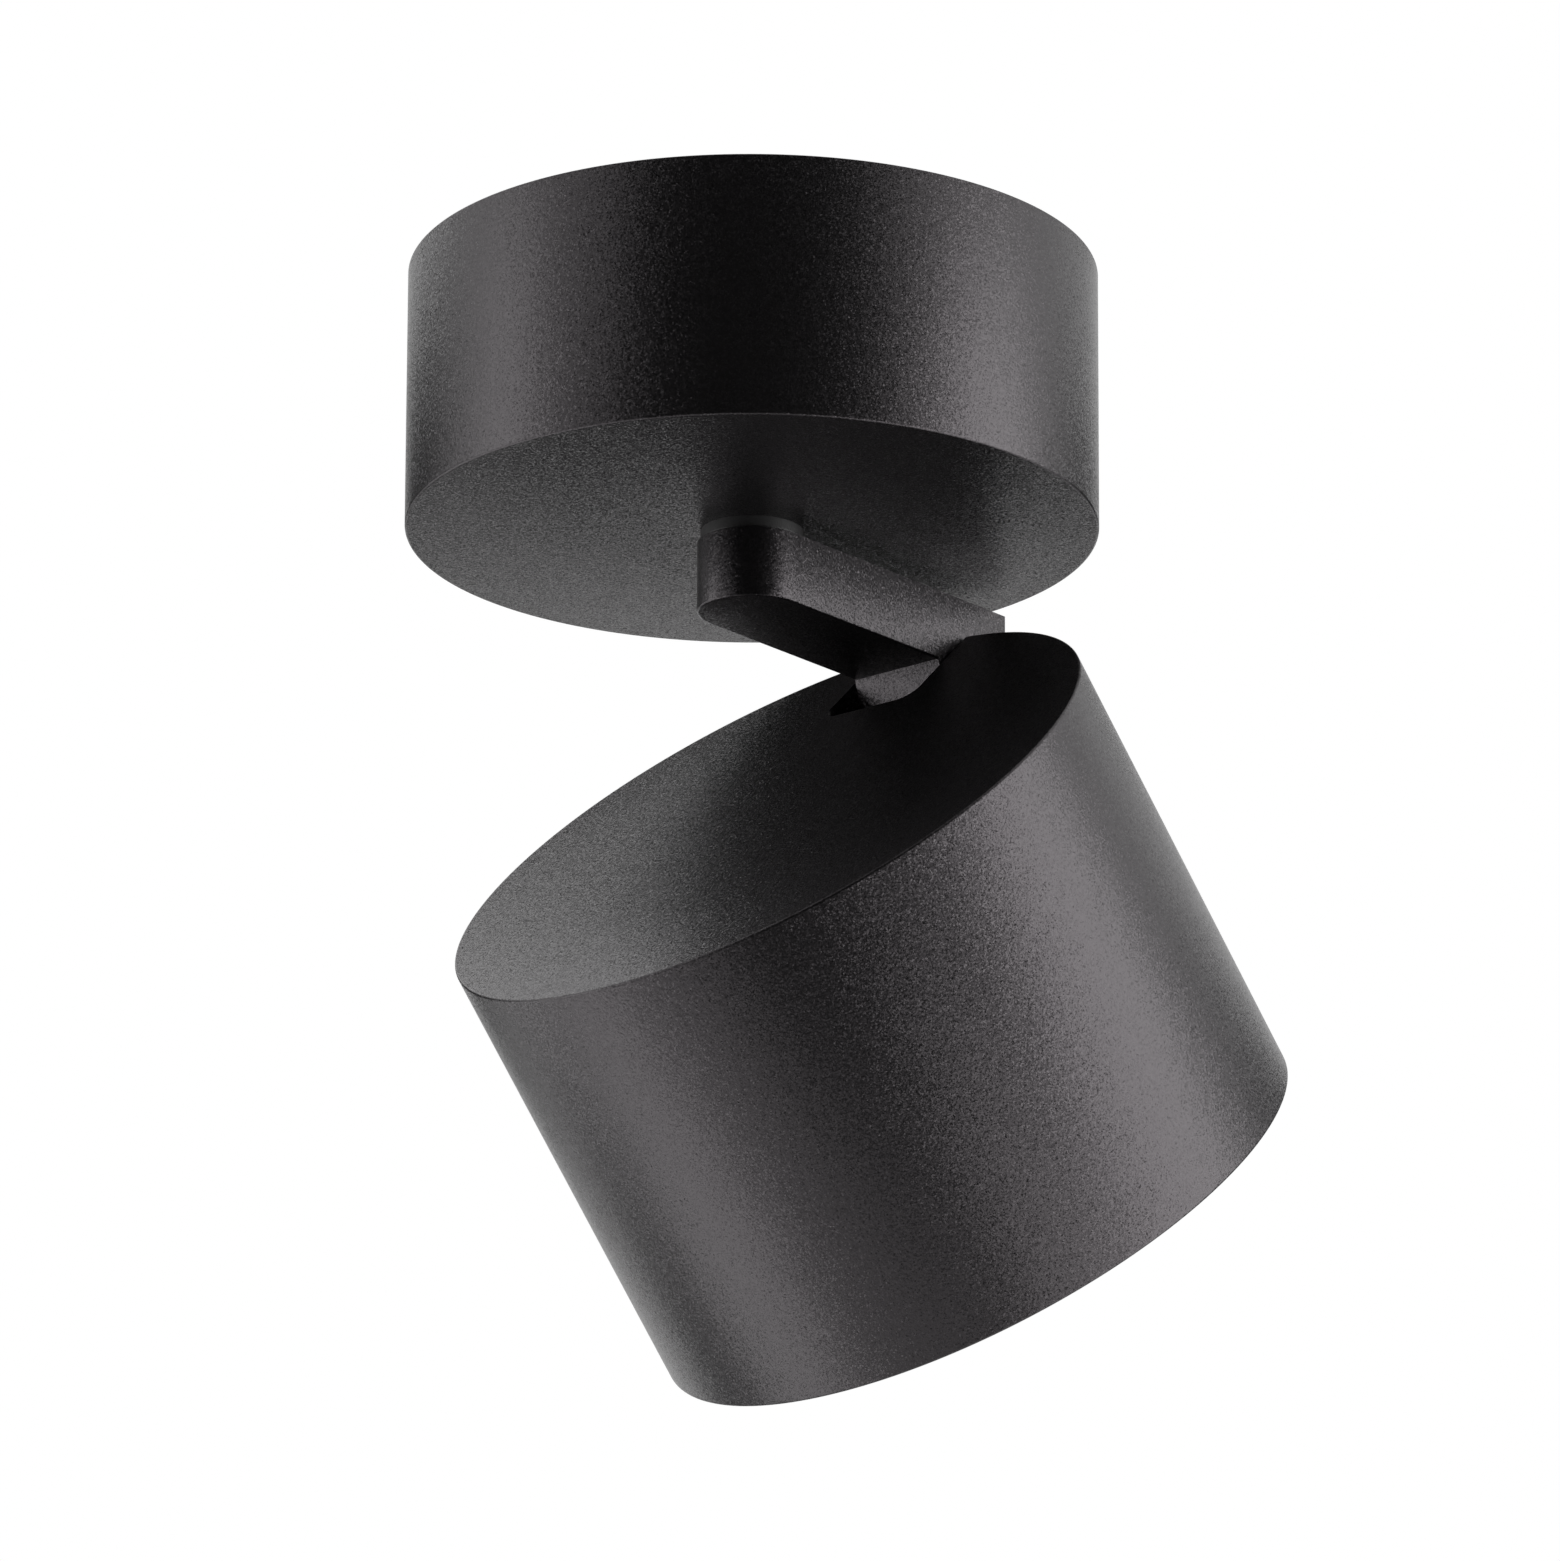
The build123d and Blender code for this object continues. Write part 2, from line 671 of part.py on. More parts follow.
def make_swivel_arm():
    """Flat bar, round at the swivel, with a knuckle that leans back to a barrel in the head's notch."""
    bar = rod(half_arm, arm_bottom, arm_top)
    bar += block(0, arm_reach, -half_arm, half_arm, arm_bottom, arm_top)
    heel_x = arm_reach - knuckle_heel_round
    heel_z = knuckle_low + knuckle_heel_round
    turn = sqrt(0.5)
    lean = radians(knuckle_lean)
    drop = arm_bottom - hinge_height
    along = knuckle_radius * sin(lean) + drop * cos(lean)
    neck = along - sqrt(along**2 - drop**2)
    waist = (knuckle_front + neck * sin(lean), arm_bottom - neck * cos(lean))
    outline = Curve() + [
        Line((knuckle_front, arm_bottom), waist),
        ThreePointArc(waist, (knuckle_front, hinge_height), (hinge_reach, knuckle_low)),
        Line((hinge_reach, knuckle_low), (heel_x, knuckle_low)),
        ThreePointArc(
            (heel_x, knuckle_low),
            (heel_x + knuckle_heel_round * turn, heel_z - knuckle_heel_round * turn),
            (arm_reach, heel_z),
        ),
        Line((arm_reach, heel_z), (arm_reach, arm_top)),
        Line((arm_reach, arm_top), (knuckle_front, arm_top)),
        Line((knuckle_front, arm_top), (knuckle_front, arm_bottom)),
    ]
    knuckle = extrude(Plane.XZ * make_face(outline), half_arm, both=True)
    arm = bar + knuckle
    end_corners = [
        edge for edge in arm.edges().filter_by(Axis.Z) if abs(edge.center().X - arm_reach) < same_place
    ]
    heel_corners = [
        edge
        for edge in arm.edges().filter_by(GeomType.CIRCLE)
        if edge.center().X > heel_x and abs(abs(edge.center().Y) - half_arm) < same_place
    ]
    arm = fillet(end_corners + heel_corners, arm_end_round)
    lower_rim = [
        edge
        for edge in arm.edges()
        if abs(edge.center().Z - arm_bottom) < same_place and edge.center().X < knuckle_front - same_place
    ]
    arm = fillet(lower_rim, arm_edge)
    arm -= rod(stud_radius + seat_gap, stud_bottom, arm_top)
    half_groove = arm_groove_width / 2
    groove_low = arm_top - arm_groove_depth
    arm -= block(0, groove_end, -half_groove, half_groove, groove_low, arm_top)
    arm -= rod(half_groove, groove_low, arm_top)
    arm += block(
        cover_screw_x - arm_bridge_length / 2,
        cover_screw_x + arm_bridge_length / 2,
        -half_groove,
        half_groove,
        cover_low - arm_bridge_thickness,
        cover_low,
    )
    half_cover = arm_cover_width / 2 + seat_gap
    arm -= block(
        cover_start - seat_gap, cover_end + seat_gap, -half_cover, half_cover, cover_low, arm_top
    )
    arm -= rod(lead_hole_diameter / 2, knuckle_low - cut_over, groove_low, lead_hole_x)
    arm -= rod(
        arm_cover_screw_diameter / 2 + seat_gap, cover_low - shallow_bite, cover_low, cover_screw_x
    )
    arm -= rod_y(hinge_bore + seat_gap, -half_arm, half_arm, hinge_reach, hinge_height)
    return arm


def make_arm_cover():
    """Strip let into the arm's top over the lead groove, and its screw into the arm's bridge."""
    half_cover = arm_cover_width / 2
    hole = arm_cover_screw_diameter / 2
    cover = block(cover_start, cover_end, -half_cover, half_cover, cover_low, arm_top)
    cover -= rod(hole + seat_gap, cover_low, arm_top, cover_screw_x)
    sink = Pos(cover_screw_x, 0, arm_top - hole) * Cone(hole, 2 * hole, hole, align=UPRIGHT)
    cover -= sink
    screw = rod(hole, cover_low - shallow_bite + free_gap, arm_top, cover_screw_x)
    screw += Pos(cover_screw_x, 0, arm_top - hole) * Cone(hole, 2 * hole - seat_gap, hole, align=UPRIGHT)
    slot = block(
        cover_screw_x - 2 * hole,
        cover_screw_x + 2 * hole,
        -socket_width / 6,
        socket_width / 6,
        arm_top - hole / 2,
        arm_top,
    )
    return {"arm_cover": cover, "arm_cover_screw": screw - slot}


# Places across the hinge, measured from the arm's middle plane
bush_flange_outer = pocket_half - run_gap
bolt_seat = pocket_outer
spring_outer = bolt_seat + hinge_spring_thickness + hinge_spring_rise
nut_outer = spring_outer + hinge_nut_height
bolt_end = nut_outer + hinge_bolt_end


def make_hinge_bushes():
    """Two flanged bushes in the knuckle: their flanges rub on the hinge bracket."""
    bolt_hole = hinge_bolt_diameter / 2 + run_gap
    bushes = []
    for side in (-1, 1):
        inner, outer = side * (half_arm - hinge_bush_length), side * bush_flange_outer
        seat = side * half_arm
        sleeve = rod_y(hinge_bore, *sorted((inner, seat)), hinge_reach, hinge_height)
        flange = rod_y(hinge_flange_diameter / 2, *sorted((seat, outer)), hinge_reach, hinge_height)
        hole = rod_y(bolt_hole, *sorted((inner, outer)), hinge_reach, hinge_height)
        bushes.append(sleeve + flange - hole)
    return group(bushes)


def make_hinge_hardware():
    """Through bolt of the hinge, fixed in the bracket's ears, with its spring washer and nut."""
    radius = hinge_bolt_diameter / 2
    head_start = -bolt_seat - hinge_bolt_head_height
    bolt = rod_y(radius, -bolt_seat, bolt_end, hinge_reach, hinge_height)
    head = rod_y(hinge_nut_width / 2, head_start, -bolt_seat, hinge_reach, hinge_height)
    head = fillet(head.edges().group_by(Axis.Y)[0], hinge_bolt_head_height / 3)
    socket = hex_prism(hinge_socket_width, 0, hinge_bolt_head_height * recess_depth_share)
    bolt += head
    bolt -= Pos(hinge_reach, head_start, hinge_height) * Rot(-90, 0, 0) * socket
    spring = disc_spring(
        hinge_nut_width / 2, radius + seat_gap, hinge_spring_thickness, hinge_spring_rise, 0
    )
    spring = Pos(hinge_reach, bolt_seat, hinge_height) * Rot(-90, 0, 0) * spring
    nut = hex_prism(hinge_nut_width, 0, hinge_nut_height) - rod(radius + seat_gap, 0, hinge_nut_height)
    nut = Pos(hinge_reach, spring_outer, hinge_height) * Rot(-90, 0, 0) * nut
    return {"hinge_bolt": bolt, "hinge_spring_washer": spring, "hinge_nut": nut}


# Places of the hinge bracket in the level head
pocket_back = notch_inner - pocket_recess
flange_low = head_ceiling - pocket_flange
flange_outer = pocket_outer + pocket_flange_width
bracket_screw_y = bolt_end + small_head_radius + free_gap
bracket_screw_reach = sqrt((head_inner - small_head_radius - free_gap) ** 2 - bracket_screw_y**2)
bracket_screw_xs = (pocket_back + small_head_radius, bracket_screw_reach - free_gap)
lead_grommet_z = head_level_top - lead_grommet_depth


def make_hinge_bracket():
    """Folded steel box under the notch: two ears for the hinge bolt and two screw flanges."""
    low = pocket_floor - pocket_wall
    start = pocket_back - pocket_wall
    box = block(start, head_inner, -pocket_outer, pocket_outer, low, head_ceiling)
    box += block(start, head_inner, -flange_outer, flange_outer, flange_low, head_ceiling)
    box &= rod(head_inner - free_gap, low, head_ceiling)
    box -= block(pocket_back, head_radius, -pocket_half, pocket_half, pocket_floor, head_ceiling)
    hole = hinge_bolt_diameter / 2 + seat_gap
    box -= rod_y(hole, -pocket_outer, pocket_outer, hinge_reach, hinge_height)
    box -= rod_x(
        lead_grommet_bore / 2 + lead_grommet_wall + seat_gap, start, pocket_back, 0, lead_grommet_z
    )
    for x in bracket_screw_xs:
        for side in (-1, 1):
            box -= rod(small_screw_radius + screw_gap, flange_low, head_ceiling, x, side * bracket_screw_y)
    return box


def make_bracket_screws():
    """Four screws that hold the hinge bracket up to the head's top wall."""
    screw = pan_screw(
        small_screw_radius, pocket_flange + shallow_bite - free_gap, small_head_radius, small_head_height
    )
    screw = Rot(180, 0, 0) * screw
    places = [(x, side * bracket_screw_y) for x in bracket_screw_xs for side in (-1, 1)]
    return group(Pos(x, y, flange_low) * screw for x, y in places)


def make_lead_grommet():
    """Rubber grommet where the lamp lead enters the head, in the bracket's back wall."""
    bore = lead_grommet_bore / 2
    sleeve = bore + lead_grommet_wall
    start = pocket_back - pocket_wall
    body = rod_x(sleeve, start, pocket_back, 0, lead_grommet_z)
    body += rod_x(sleeve + lead_grommet_lip, start - lead_grommet_lip, start, 0, lead_grommet_z)
    return body - rod_x(bore, start - lead_grommet_lip, pocket_back, 0, lead_grommet_z)


def make_head_housing():
    """Round cup, open below, notched at its top rim for the arm's knuckle."""
    outside = rod(head_radius, head_level_bottom, head_level_top)
    edges = outside.edges().group_by(Axis.Z)
    outside = fillet(edges[0] + edges[-1], shell_edge)
    shell = outside - rod(head_inner, head_level_bottom, head_ceiling)
    for x, y in around(post_count, post_circle, post_start_angle):
        shell += rod(post_diameter / 2, sink_top, head_ceiling, x, y)
        shell -= rod(small_screw_radius + seat_gap, sink_top, sink_top + screw_bite, x, y)
    notch = block(
        notch_inner,
        head_radius + cut_over,
        -notch_half,
        notch_half,
        head_level_top - notch_depth,
        head_level_top,
    )
    inner_corners = [
        edge for edge in notch.edges().filter_by(Axis.Z) if edge.center().X < notch_inner + same_place
    ]
    notch = fillet(inner_corners, notch_corner)
    shell -= notch
    for x in bracket_screw_xs:
        for side in (-1, 1):
            shell -= rod(
                small_screw_radius + seat_gap,
                head_ceiling,
                head_ceiling + shallow_bite,
                x,
                side * bracket_screw_y,
            )
    return shell


def make_heat_sink():
    """Finned aluminium disc that carries the light source, screwed to the head's posts."""
    sink = rod(head_inner - screw_gap, sink_bottom, sink_top)
    fin_half = post_circle * sin(radians(post_start_angle)) - post_diameter / 2 - 2 * free_gap
    first = -post_circle + post_diameter / 2 + sink_fin_thickness
    last = pocket_back - pocket_wall - lead_grommet_lip - sink_fin_thickness
    count = int((last - first) / sink_fin_pitch) + 1
    for index in range(count):
        x = first + index * sink_fin_pitch
        sink += block(
            x - sink_fin_thickness / 2,
            x + sink_fin_thickness / 2,
            -fin_half,
            fin_half,
            sink_top,
            sink_top + sink_fin_height,
        )
    for x, y in around(post_count, post_circle, post_start_angle):
        sink -= rod(small_screw_radius + screw_gap, sink_bottom, sink_top, x, y)
    for side in (-1, 1):
        sink -= rod(
            small_screw_radius + seat_gap,
            sink_bottom,
            sink_bottom + holder_screw_bite,
            side * holder_screw_radius,
        )
    lead_x = holder_diameter / 2 + sink_lead_hole
    sink -= rod(sink_lead_hole / 2, sink_bottom, sink_top, lead_x, sink_fin_pitch)
    return sink


def make_heat_sink_screws():
    """Screws from below through the heat sink into the head's posts."""
    screw = pan_screw(
        small_screw_radius, sink_thickness + screw_bite - free_gap, small_head_radius, small_head_height
    )
    screw = Rot(180, 0, 0) * screw
    places = around(post_count, post_circle, post_start_angle)
    return group(Pos(x, y, sink_bottom) * screw for x, y in places)


# Heights of the light source and the optics, from the heat sink down to the front
pad_low = sink_bottom - pad_thickness
board_low = pad_low - board_thickness
emitter_low = board_low - emitter_thickness
holder_low = sink_bottom - holder_height
ring_low = head_level_bottom + ring_recess
glass_low = ring_low + ring_thickness
gasket_low = glass_low + glass_thickness
flange_seat = gasket_low + gasket_thickness
optic_radius = head_inner - optic_gap
opening_radius = head_inner - ring_face_width


def make_light_source():
    """Thermal pad, light board, its emitter, the holder that clamps them and two screws."""
    half_pad = pad_size / 2
    half_board = board_size / 2
    pad = block(-half_pad, half_pad, -half_pad, half_pad, pad_low, sink_bottom)
    board = block(-half_board, half_board, -half_board, half_board, board_low, pad_low)
    emitter = rod(emitter_diameter / 2, emitter_low, board_low)
    holder = rod(holder_diameter / 2, holder_low, sink_bottom)
    holder = fillet(holder.edges().group_by(Axis.Z)[0], holder_height / 5)
    room = half_pad + free_gap
    holder -= block(-room, room, -room, room, pad_low, sink_bottom)
    board_room = half_board + free_gap
    holder -= block(-board_room, board_room, -board_room, board_room, board_low, pad_low)
    holder -= rod(holder_opening / 2, holder_low, board_low)
    screws = []
    screw_seat = holder_low + small_head_height
    for side in (-1, 1):
        x = side * holder_screw_radius
        holder -= rod(small_screw_radius + screw_gap, holder_low, sink_bottom, x)
        holder -= rod(small_head_radius + screw_gap, holder_low, screw_seat, x)
        length = sink_bottom - screw_seat + holder_screw_bite - free_gap
        screw = Rot(180, 0, 0) * pan_screw(small_screw_radius, length, small_head_radius, small_head_height)
        screws.append(Pos(x, 0, screw_seat) * screw)
    return {
        "thermal_pad": pad,
        "led_board": board,
        "led_emitter": emitter,
        "led_holder": holder,
        "holder_screws": group(screws),
    }


def make_optics():
    """Reflector on the holder, then gasket, glass and the screw-in front ring."""
    foot = holder_opening / 2
    waist_r = foot + (opening_radius - foot) * reflector_waist_share
    waist_z = holder_low - reflector_waist_drop
    top = holder_low
    front = flange_seat
    shell = reflector_shell
    reflector = turned(
        ThreePointArc((foot, top), (waist_r, waist_z), (opening_radius, front + shell)),
        Line((opening_radius, front + shell), (optic_radius, front + shell)),
        Line((optic_radius, front + shell), (optic_radius, front)),
        Line((optic_radius, front), (opening_radius, front)),
        ThreePointArc((opening_radius, front), (waist_r, waist_z - shell), (foot, top - shell)),
        Line((foot, top - shell), (foot, top)),
    )
    gasket = ring(optic_radius, optic_radius - gasket_width, gasket_low, flange_seat)
    glass = rod(optic_radius, glass_low, gasket_low)
    outer = head_inner - seat_gap
    retainer = turned(
        Polyline(
            (opening_radius, glass_low),
            (outer, glass_low),
            (outer, ring_low),
            (outer - ring_lip, ring_low),
            close=True,
        )
    )
    for angle in (0, 90, 180, 270):
        slot = block(
            outer - ring_lip - cut_over,
            outer - ring_lip / 3,
            -spanner_slot_width / 2,
            spanner_slot_width / 2,
            ring_low,
            ring_low + spanner_slot_depth,
        )
        retainer -= Rot(0, 0, angle) * slot
    return {"reflector": reflector, "glass_gasket": gasket, "front_glass": glass, "front_ring": retainer}


def make_parts():
    """All pieces by node name, in the shared frame."""
    fixed = {
        "canopy_cup": make_canopy_cup(),
        "canopy_lock_screw": make_canopy_lock_screw(),
        "cable_grommet": make_cable_grommet(),
        "swivel_bush": make_swivel_bush(),
        "swivel_arm": make_swivel_arm(),
        "hinge_bushes": make_hinge_bushes(),
    }
    fixed.update(make_mounting_bracket())
    fixed.update(make_standoffs())
    fixed.update(make_driver())
    fixed.update(make_terminal())
    fixed.update(make_earth_point())
    fixed.update(make_swivel_hardware())
    fixed.update(make_arm_cover())
    head = {
        "head_housing": make_head_housing(),
        "hinge_bracket": make_hinge_bracket(),
        "bracket_screws": make_bracket_screws(),
        "lead_grommet": make_lead_grommet(),
        "heat_sink": make_heat_sink(),
        "heat_sink_screws": make_heat_sink_screws(),
    }
    head.update(make_hinge_hardware())
    head.update(make_light_source())
    head.update(make_optics())
    return {**fixed, **{name: tilted(shape) for name, shape in head.items()}}


os.makedirs("parts", exist_ok=True)
for node, shape in make_parts().items():
    export_step(shape, f"parts/{node}.step")
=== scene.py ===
"""Black ceiling spotlight: canopy, swivel arm and tilting head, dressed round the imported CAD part."""

import json
import logging
import math
from collections.abc import Callable, Iterable
from dataclasses import dataclass, field
from enum import Enum

import bmesh
import bpy
from mathutils import Matrix, Vector

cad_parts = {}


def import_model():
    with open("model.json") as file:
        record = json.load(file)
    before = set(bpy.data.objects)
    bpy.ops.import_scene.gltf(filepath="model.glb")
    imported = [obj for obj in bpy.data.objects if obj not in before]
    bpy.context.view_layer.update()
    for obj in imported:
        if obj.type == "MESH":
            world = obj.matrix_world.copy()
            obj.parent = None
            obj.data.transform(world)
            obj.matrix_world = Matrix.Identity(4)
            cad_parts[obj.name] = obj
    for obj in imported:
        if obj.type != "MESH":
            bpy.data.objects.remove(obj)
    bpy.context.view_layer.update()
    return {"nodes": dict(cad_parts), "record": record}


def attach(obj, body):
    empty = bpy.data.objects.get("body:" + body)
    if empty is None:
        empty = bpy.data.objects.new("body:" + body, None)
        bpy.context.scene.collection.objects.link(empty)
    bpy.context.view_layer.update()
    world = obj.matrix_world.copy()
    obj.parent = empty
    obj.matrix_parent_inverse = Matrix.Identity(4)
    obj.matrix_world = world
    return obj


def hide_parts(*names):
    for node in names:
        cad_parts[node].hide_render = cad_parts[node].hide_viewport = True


LOG = logging.getLogger("spotlight")
MM = 0.001
ROUND_STEPS = 192
HOLE_STEPS = 48
CORNER_STEPS = 5
SMOOTH_ANGLE = math.radians(32)
# How far a cutter stands out of what it cuts.
CUT_OVER = 1.0 * MM
# Points closer than NEAR count as one place, and points closer than WELD are merged.
NEAR = 0.01 * MM
WELD = 0.001 * MM
# Cosine past which a face looks straight down.
FACES_DOWN = -0.9
# Watts per square metre that give an area lamp a radiance of 1.
LAMP_WATTS = 4.0

Point = tuple[float, float]
Corner = tuple[float, float, float]
Place = tuple[float, float, float]
Colour = tuple[float, float, float]


class Slot(Enum):
    """Material slots of the part's record."""

    BLACK_COAT = "black_coat"
    BLACK_NYLON = "black_nylon"
    NATURAL_NYLON = "natural_nylon"
    ZINC_STEEL = "zinc_steel"
    DARK_STEEL = "dark_steel"
    BRASS = "brass"
    RAW_ALUMINIUM = "raw_aluminium"
    MIRROR_ALUMINIUM = "mirror_aluminium"
    BLACK_RUBBER = "black_rubber"
    WHITE_PLASTIC = "white_plastic"
    CIRCUIT_BOARD = "circuit_board"
    FERRITE = "ferrite"
    CAPACITOR_SLEEVE = "capacitor_sleeve"
    THERMAL_PAD = "thermal_pad"
    LIGHT_BOARD = "light_board"
    PHOSPHOR = "phosphor"
    CLEAR_GLASS = "clear_glass"


class Body(Enum):
    """Moving bodies of the part."""

    CANOPY = "canopy"
    ARM = "arm"
    HEAD = "head"


class Turn(Enum):
    """Turns that lay an upright cylinder along an axis."""

    ALONG_X = (0.0, math.pi / 2, 0.0)
    ALONG_Y = (math.pi / 2, 0.0, 0.0)
    ALONG_Z = (0.0, 0.0, 0.0)


class Joining(Enum):
    """Ways in which a tool changes a piece."""

    CUT = "DIFFERENCE"
    ADD = "UNION"


@dataclass(frozen=True)
class Surface:
    """Material that is made once and then shared."""

    name: str

    def material(self) -> bpy.types.Material:
        """Makes the material, or returns the one already made.

        Returns:
            The material with its nodes.
        """
        found = bpy.data.materials.get(self.name)
        if found is not None:
            return found
        made = bpy.data.materials.new(self.name)
        made.use_nodes = True
        self.dress(made.node_tree, made.node_tree.nodes["Principled BSDF"])
        return made

    def dress(self, tree: bpy.types.NodeTree, shader: bpy.types.Node) -> None:
        """Sets up the shader, which each kind of surface does in its own way."""
        raise NotImplementedError

    @staticmethod
    def noise(
        tree: bpy.types.NodeTree, where: bpy.types.NodeSocket, size: float, layers: float
    ) -> bpy.types.NodeSocket:
        """Adds a noise texture.

        Args:
            tree: Node tree of the material.
            where: Socket that gives the place on the piece.
            size: Length of its waves, in metres.
            layers: Number of finer layers.

        Returns:
            The noise's value socket.
        """
        texture = tree.nodes.new("ShaderNodeTexNoise")
        texture.inputs["Scale"].default_value = 1 / size
        texture.inputs["Detail"].default_value = layers
        tree.links.new(where, texture.inputs["Vector"])
        return texture.outputs["Fac"]

    @staticmethod
    def bump(
        tree: bpy.types.NodeTree, height: bpy.types.NodeSocket, depth: float, strength: float
    ) -> bpy.types.NodeSocket:
        """Adds a bump.

        Args:
            tree: Node tree of the material.
            height: Socket that gives the height, from 0 to 1.
            depth: Depth of the bump, in metres.
            strength: Share of it that is used.

        Returns:
            The socket of the bumped normal.
        """
        relief = tree.nodes.new("ShaderNodeBump")
        relief.inputs["Strength"].default_value = strength
        relief.inputs["Distance"].default_value = depth
        tree.links.new(height, relief.inputs["Height"])
        return relief.outputs["Normal"]

    @staticmethod
    def vector_math(
        tree: bpy.types.NodeTree, operation: str, *values: bpy.types.NodeSocket | Place
    ) -> bpy.types.NodeSocket:
        """Adds a sum on vectors.

        Args:
            tree: Node tree of the material.
            operation: Blender's name of the sum.
            values: Sockets or constants that go into it.

        Returns:
            The result's socket.
        """
        node = tree.nodes.new("ShaderNodeVectorMath")
        node.operation = operation
        for slot, value in zip(node.inputs, values):
            if isinstance(value, bpy.types.NodeSocket):
                tree.links.new(value, slot)
            else:
                slot.default_value = value
        return node.outputs["Vector"]


@dataclass(frozen=True)
class Finish(Surface):
    """Surface with fine grain: two close tones, a roughness range and a bump.

    Grain, mottle and fleck are sizes on the surface, in metres. A finish whose flecks tilt has its second
    tone in the flecks, and otherwise in the mottle.
    """

    tone: Colour
    second_tone: Colour
    roughness: tuple[float, float]
    metallic: float = 0.0
    specular: float = 0.5
    gloss_tint: Colour = (1.0, 1.0, 1.0)
    grain: float = 0.6 * MM
    grain_layers: float = 3.0
    mottle: float = 12.0 * MM
    mottle_layers: float = 2.0
    bump_depth: float = 0.02 * MM
    bump_strength: float = 0.3
    fleck: float = 0.3 * MM
    fleck_tilt: float = 0.0
    fleck_rarity: float = 3.0

    def dress(self, tree: bpy.types.NodeTree, shader: bpy.types.Node) -> None:
        """Sets the shader's constants and adds the nodes for tone, roughness and bump.

        Args:
            tree: Node tree of the material.
            shader: Its principled shader.
        """
        shader.inputs["Metallic"].default_value = self.metallic
        shader.inputs["Specular IOR Level"].default_value = self.specular
        shader.inputs["Specular Tint"].default_value = (*self.gloss_tint, 1.0)
        nodes, links = tree.nodes, tree.links
        where = nodes.new("ShaderNodeTexCoord").outputs["Object"]
        fine = self.noise(tree, where, self.grain, self.grain_layers)

        rough = nodes.new("ShaderNodeMapRange")
        rough.inputs["To Min"].default_value = self.roughness[0]
        rough.inputs["To Max"].default_value = self.roughness[1]
        links.new(fine, rough.inputs["Value"])
        links.new(rough.outputs["Result"], shader.inputs["Roughness"])

        normal = self.bump(tree, fine, self.bump_depth, self.bump_strength)
        if self.fleck_tilt > 0:
            normal, tone_share = self.flecks(tree, where, normal)
        else:
            tone_share = self.noise(tree, where, self.mottle, self.mottle_layers)
        links.new(normal, shader.inputs["Normal"])

        tones = nodes.new("ShaderNodeMix")
        tones.data_type = "RGBA"
        tones.inputs["A"].default_value = (*self.tone, 1.0)
        tones.inputs["B"].default_value = (*self.second_tone, 1.0)
        links.new(tone_share, tones.inputs["Factor"])
        links.new(tones.outputs["Result"], shader.inputs["Base Color"])

    def flecks(
        self, tree: bpy.types.NodeTree, where: bpy.types.NodeSocket, normal: bpy.types.NodeSocket
    ) -> tuple[bpy.types.NodeSocket, bpy.types.NodeSocket]:
        """Tilts the normal a little, in each fleck of the coat its own way, and varies its tone.

        Args:
            tree: Node tree of the material.
            where: Socket that gives the place on the piece.
            normal: Normal of the coat without flecks.

        Returns:
            The sockets of the tilted normal and of the fleck's share of the second tone.
        """
        cells = tree.nodes.new("ShaderNodeTexVoronoi")
        cells.inputs["Scale"].default_value = 1 / self.fleck
        tree.links.new(where, cells.inputs["Vector"])

        spread = tree.nodes.new("ShaderNodeMapRange")
        spread.data_type = "FLOAT_VECTOR"
        spread.inputs["To Min"].default_value = (-1.0, -1.0, -1.0)
        tree.links.new(cells.outputs["Color"], spread.inputs["Vector"])
        slope = spread.outputs["Vector"]
        # The third power keeps most flecks nearly level and lets a few tilt far.
        square = self.vector_math(tree, "MULTIPLY", slope, slope)
        cube = self.vector_math(tree, "MULTIPLY", square, slope)
        tilted = self.vector_math(tree, "MULTIPLY_ADD", cube, (self.fleck_tilt,) * 3, normal)

        channels = tree.nodes.new("ShaderNodeSeparateXYZ")
        tree.links.new(cells.outputs["Color"], channels.inputs["Vector"])
        share = tree.nodes.new("ShaderNodeMath")
        share.operation = "POWER"
        share.inputs[1].default_value = self.fleck_rarity
        tree.links.new(channels.outputs["Z"], share.inputs[0])
        return self.vector_math(tree, "NORMALIZE", tilted), share.outputs["Value"]


@dataclass(frozen=True)
class ClearGlass(Surface):
    """Clear toughened glass with a faint ripple."""

    name: str = "clear glass"
    tint: Colour = (0.95, 0.97, 0.96)
    roughness: float = 0.02
    ior: float = 1.5
    ripple: float = 30.0 * MM
    ripple_layers: float = 1.0
    ripple_depth: float = 0.01 * MM
    ripple_strength: float = 0.02

    def dress(self, tree: bpy.types.NodeTree, shader: bpy.types.Node) -> None:
        """Sets the shader's constants and adds the ripple.

        Args:
            tree: Node tree of the material.
            shader: Its principled shader.
        """
        shader.inputs["Base Color"].default_value = (*self.tint, 1.0)
        shader.inputs["Roughness"].default_value = self.roughness
        shader.inputs["IOR"].default_value = self.ior
        shader.inputs["Transmission Weight"].default_value = 1.0
        where = tree.nodes.new("ShaderNodeTexCoord").outputs["Object"]
        wave = self.noise(tree, where, self.ripple, self.ripple_layers)
        normal = self.bump(tree, wave, self.ripple_depth, self.ripple_strength)
        tree.links.new(normal, shader.inputs["Normal"])


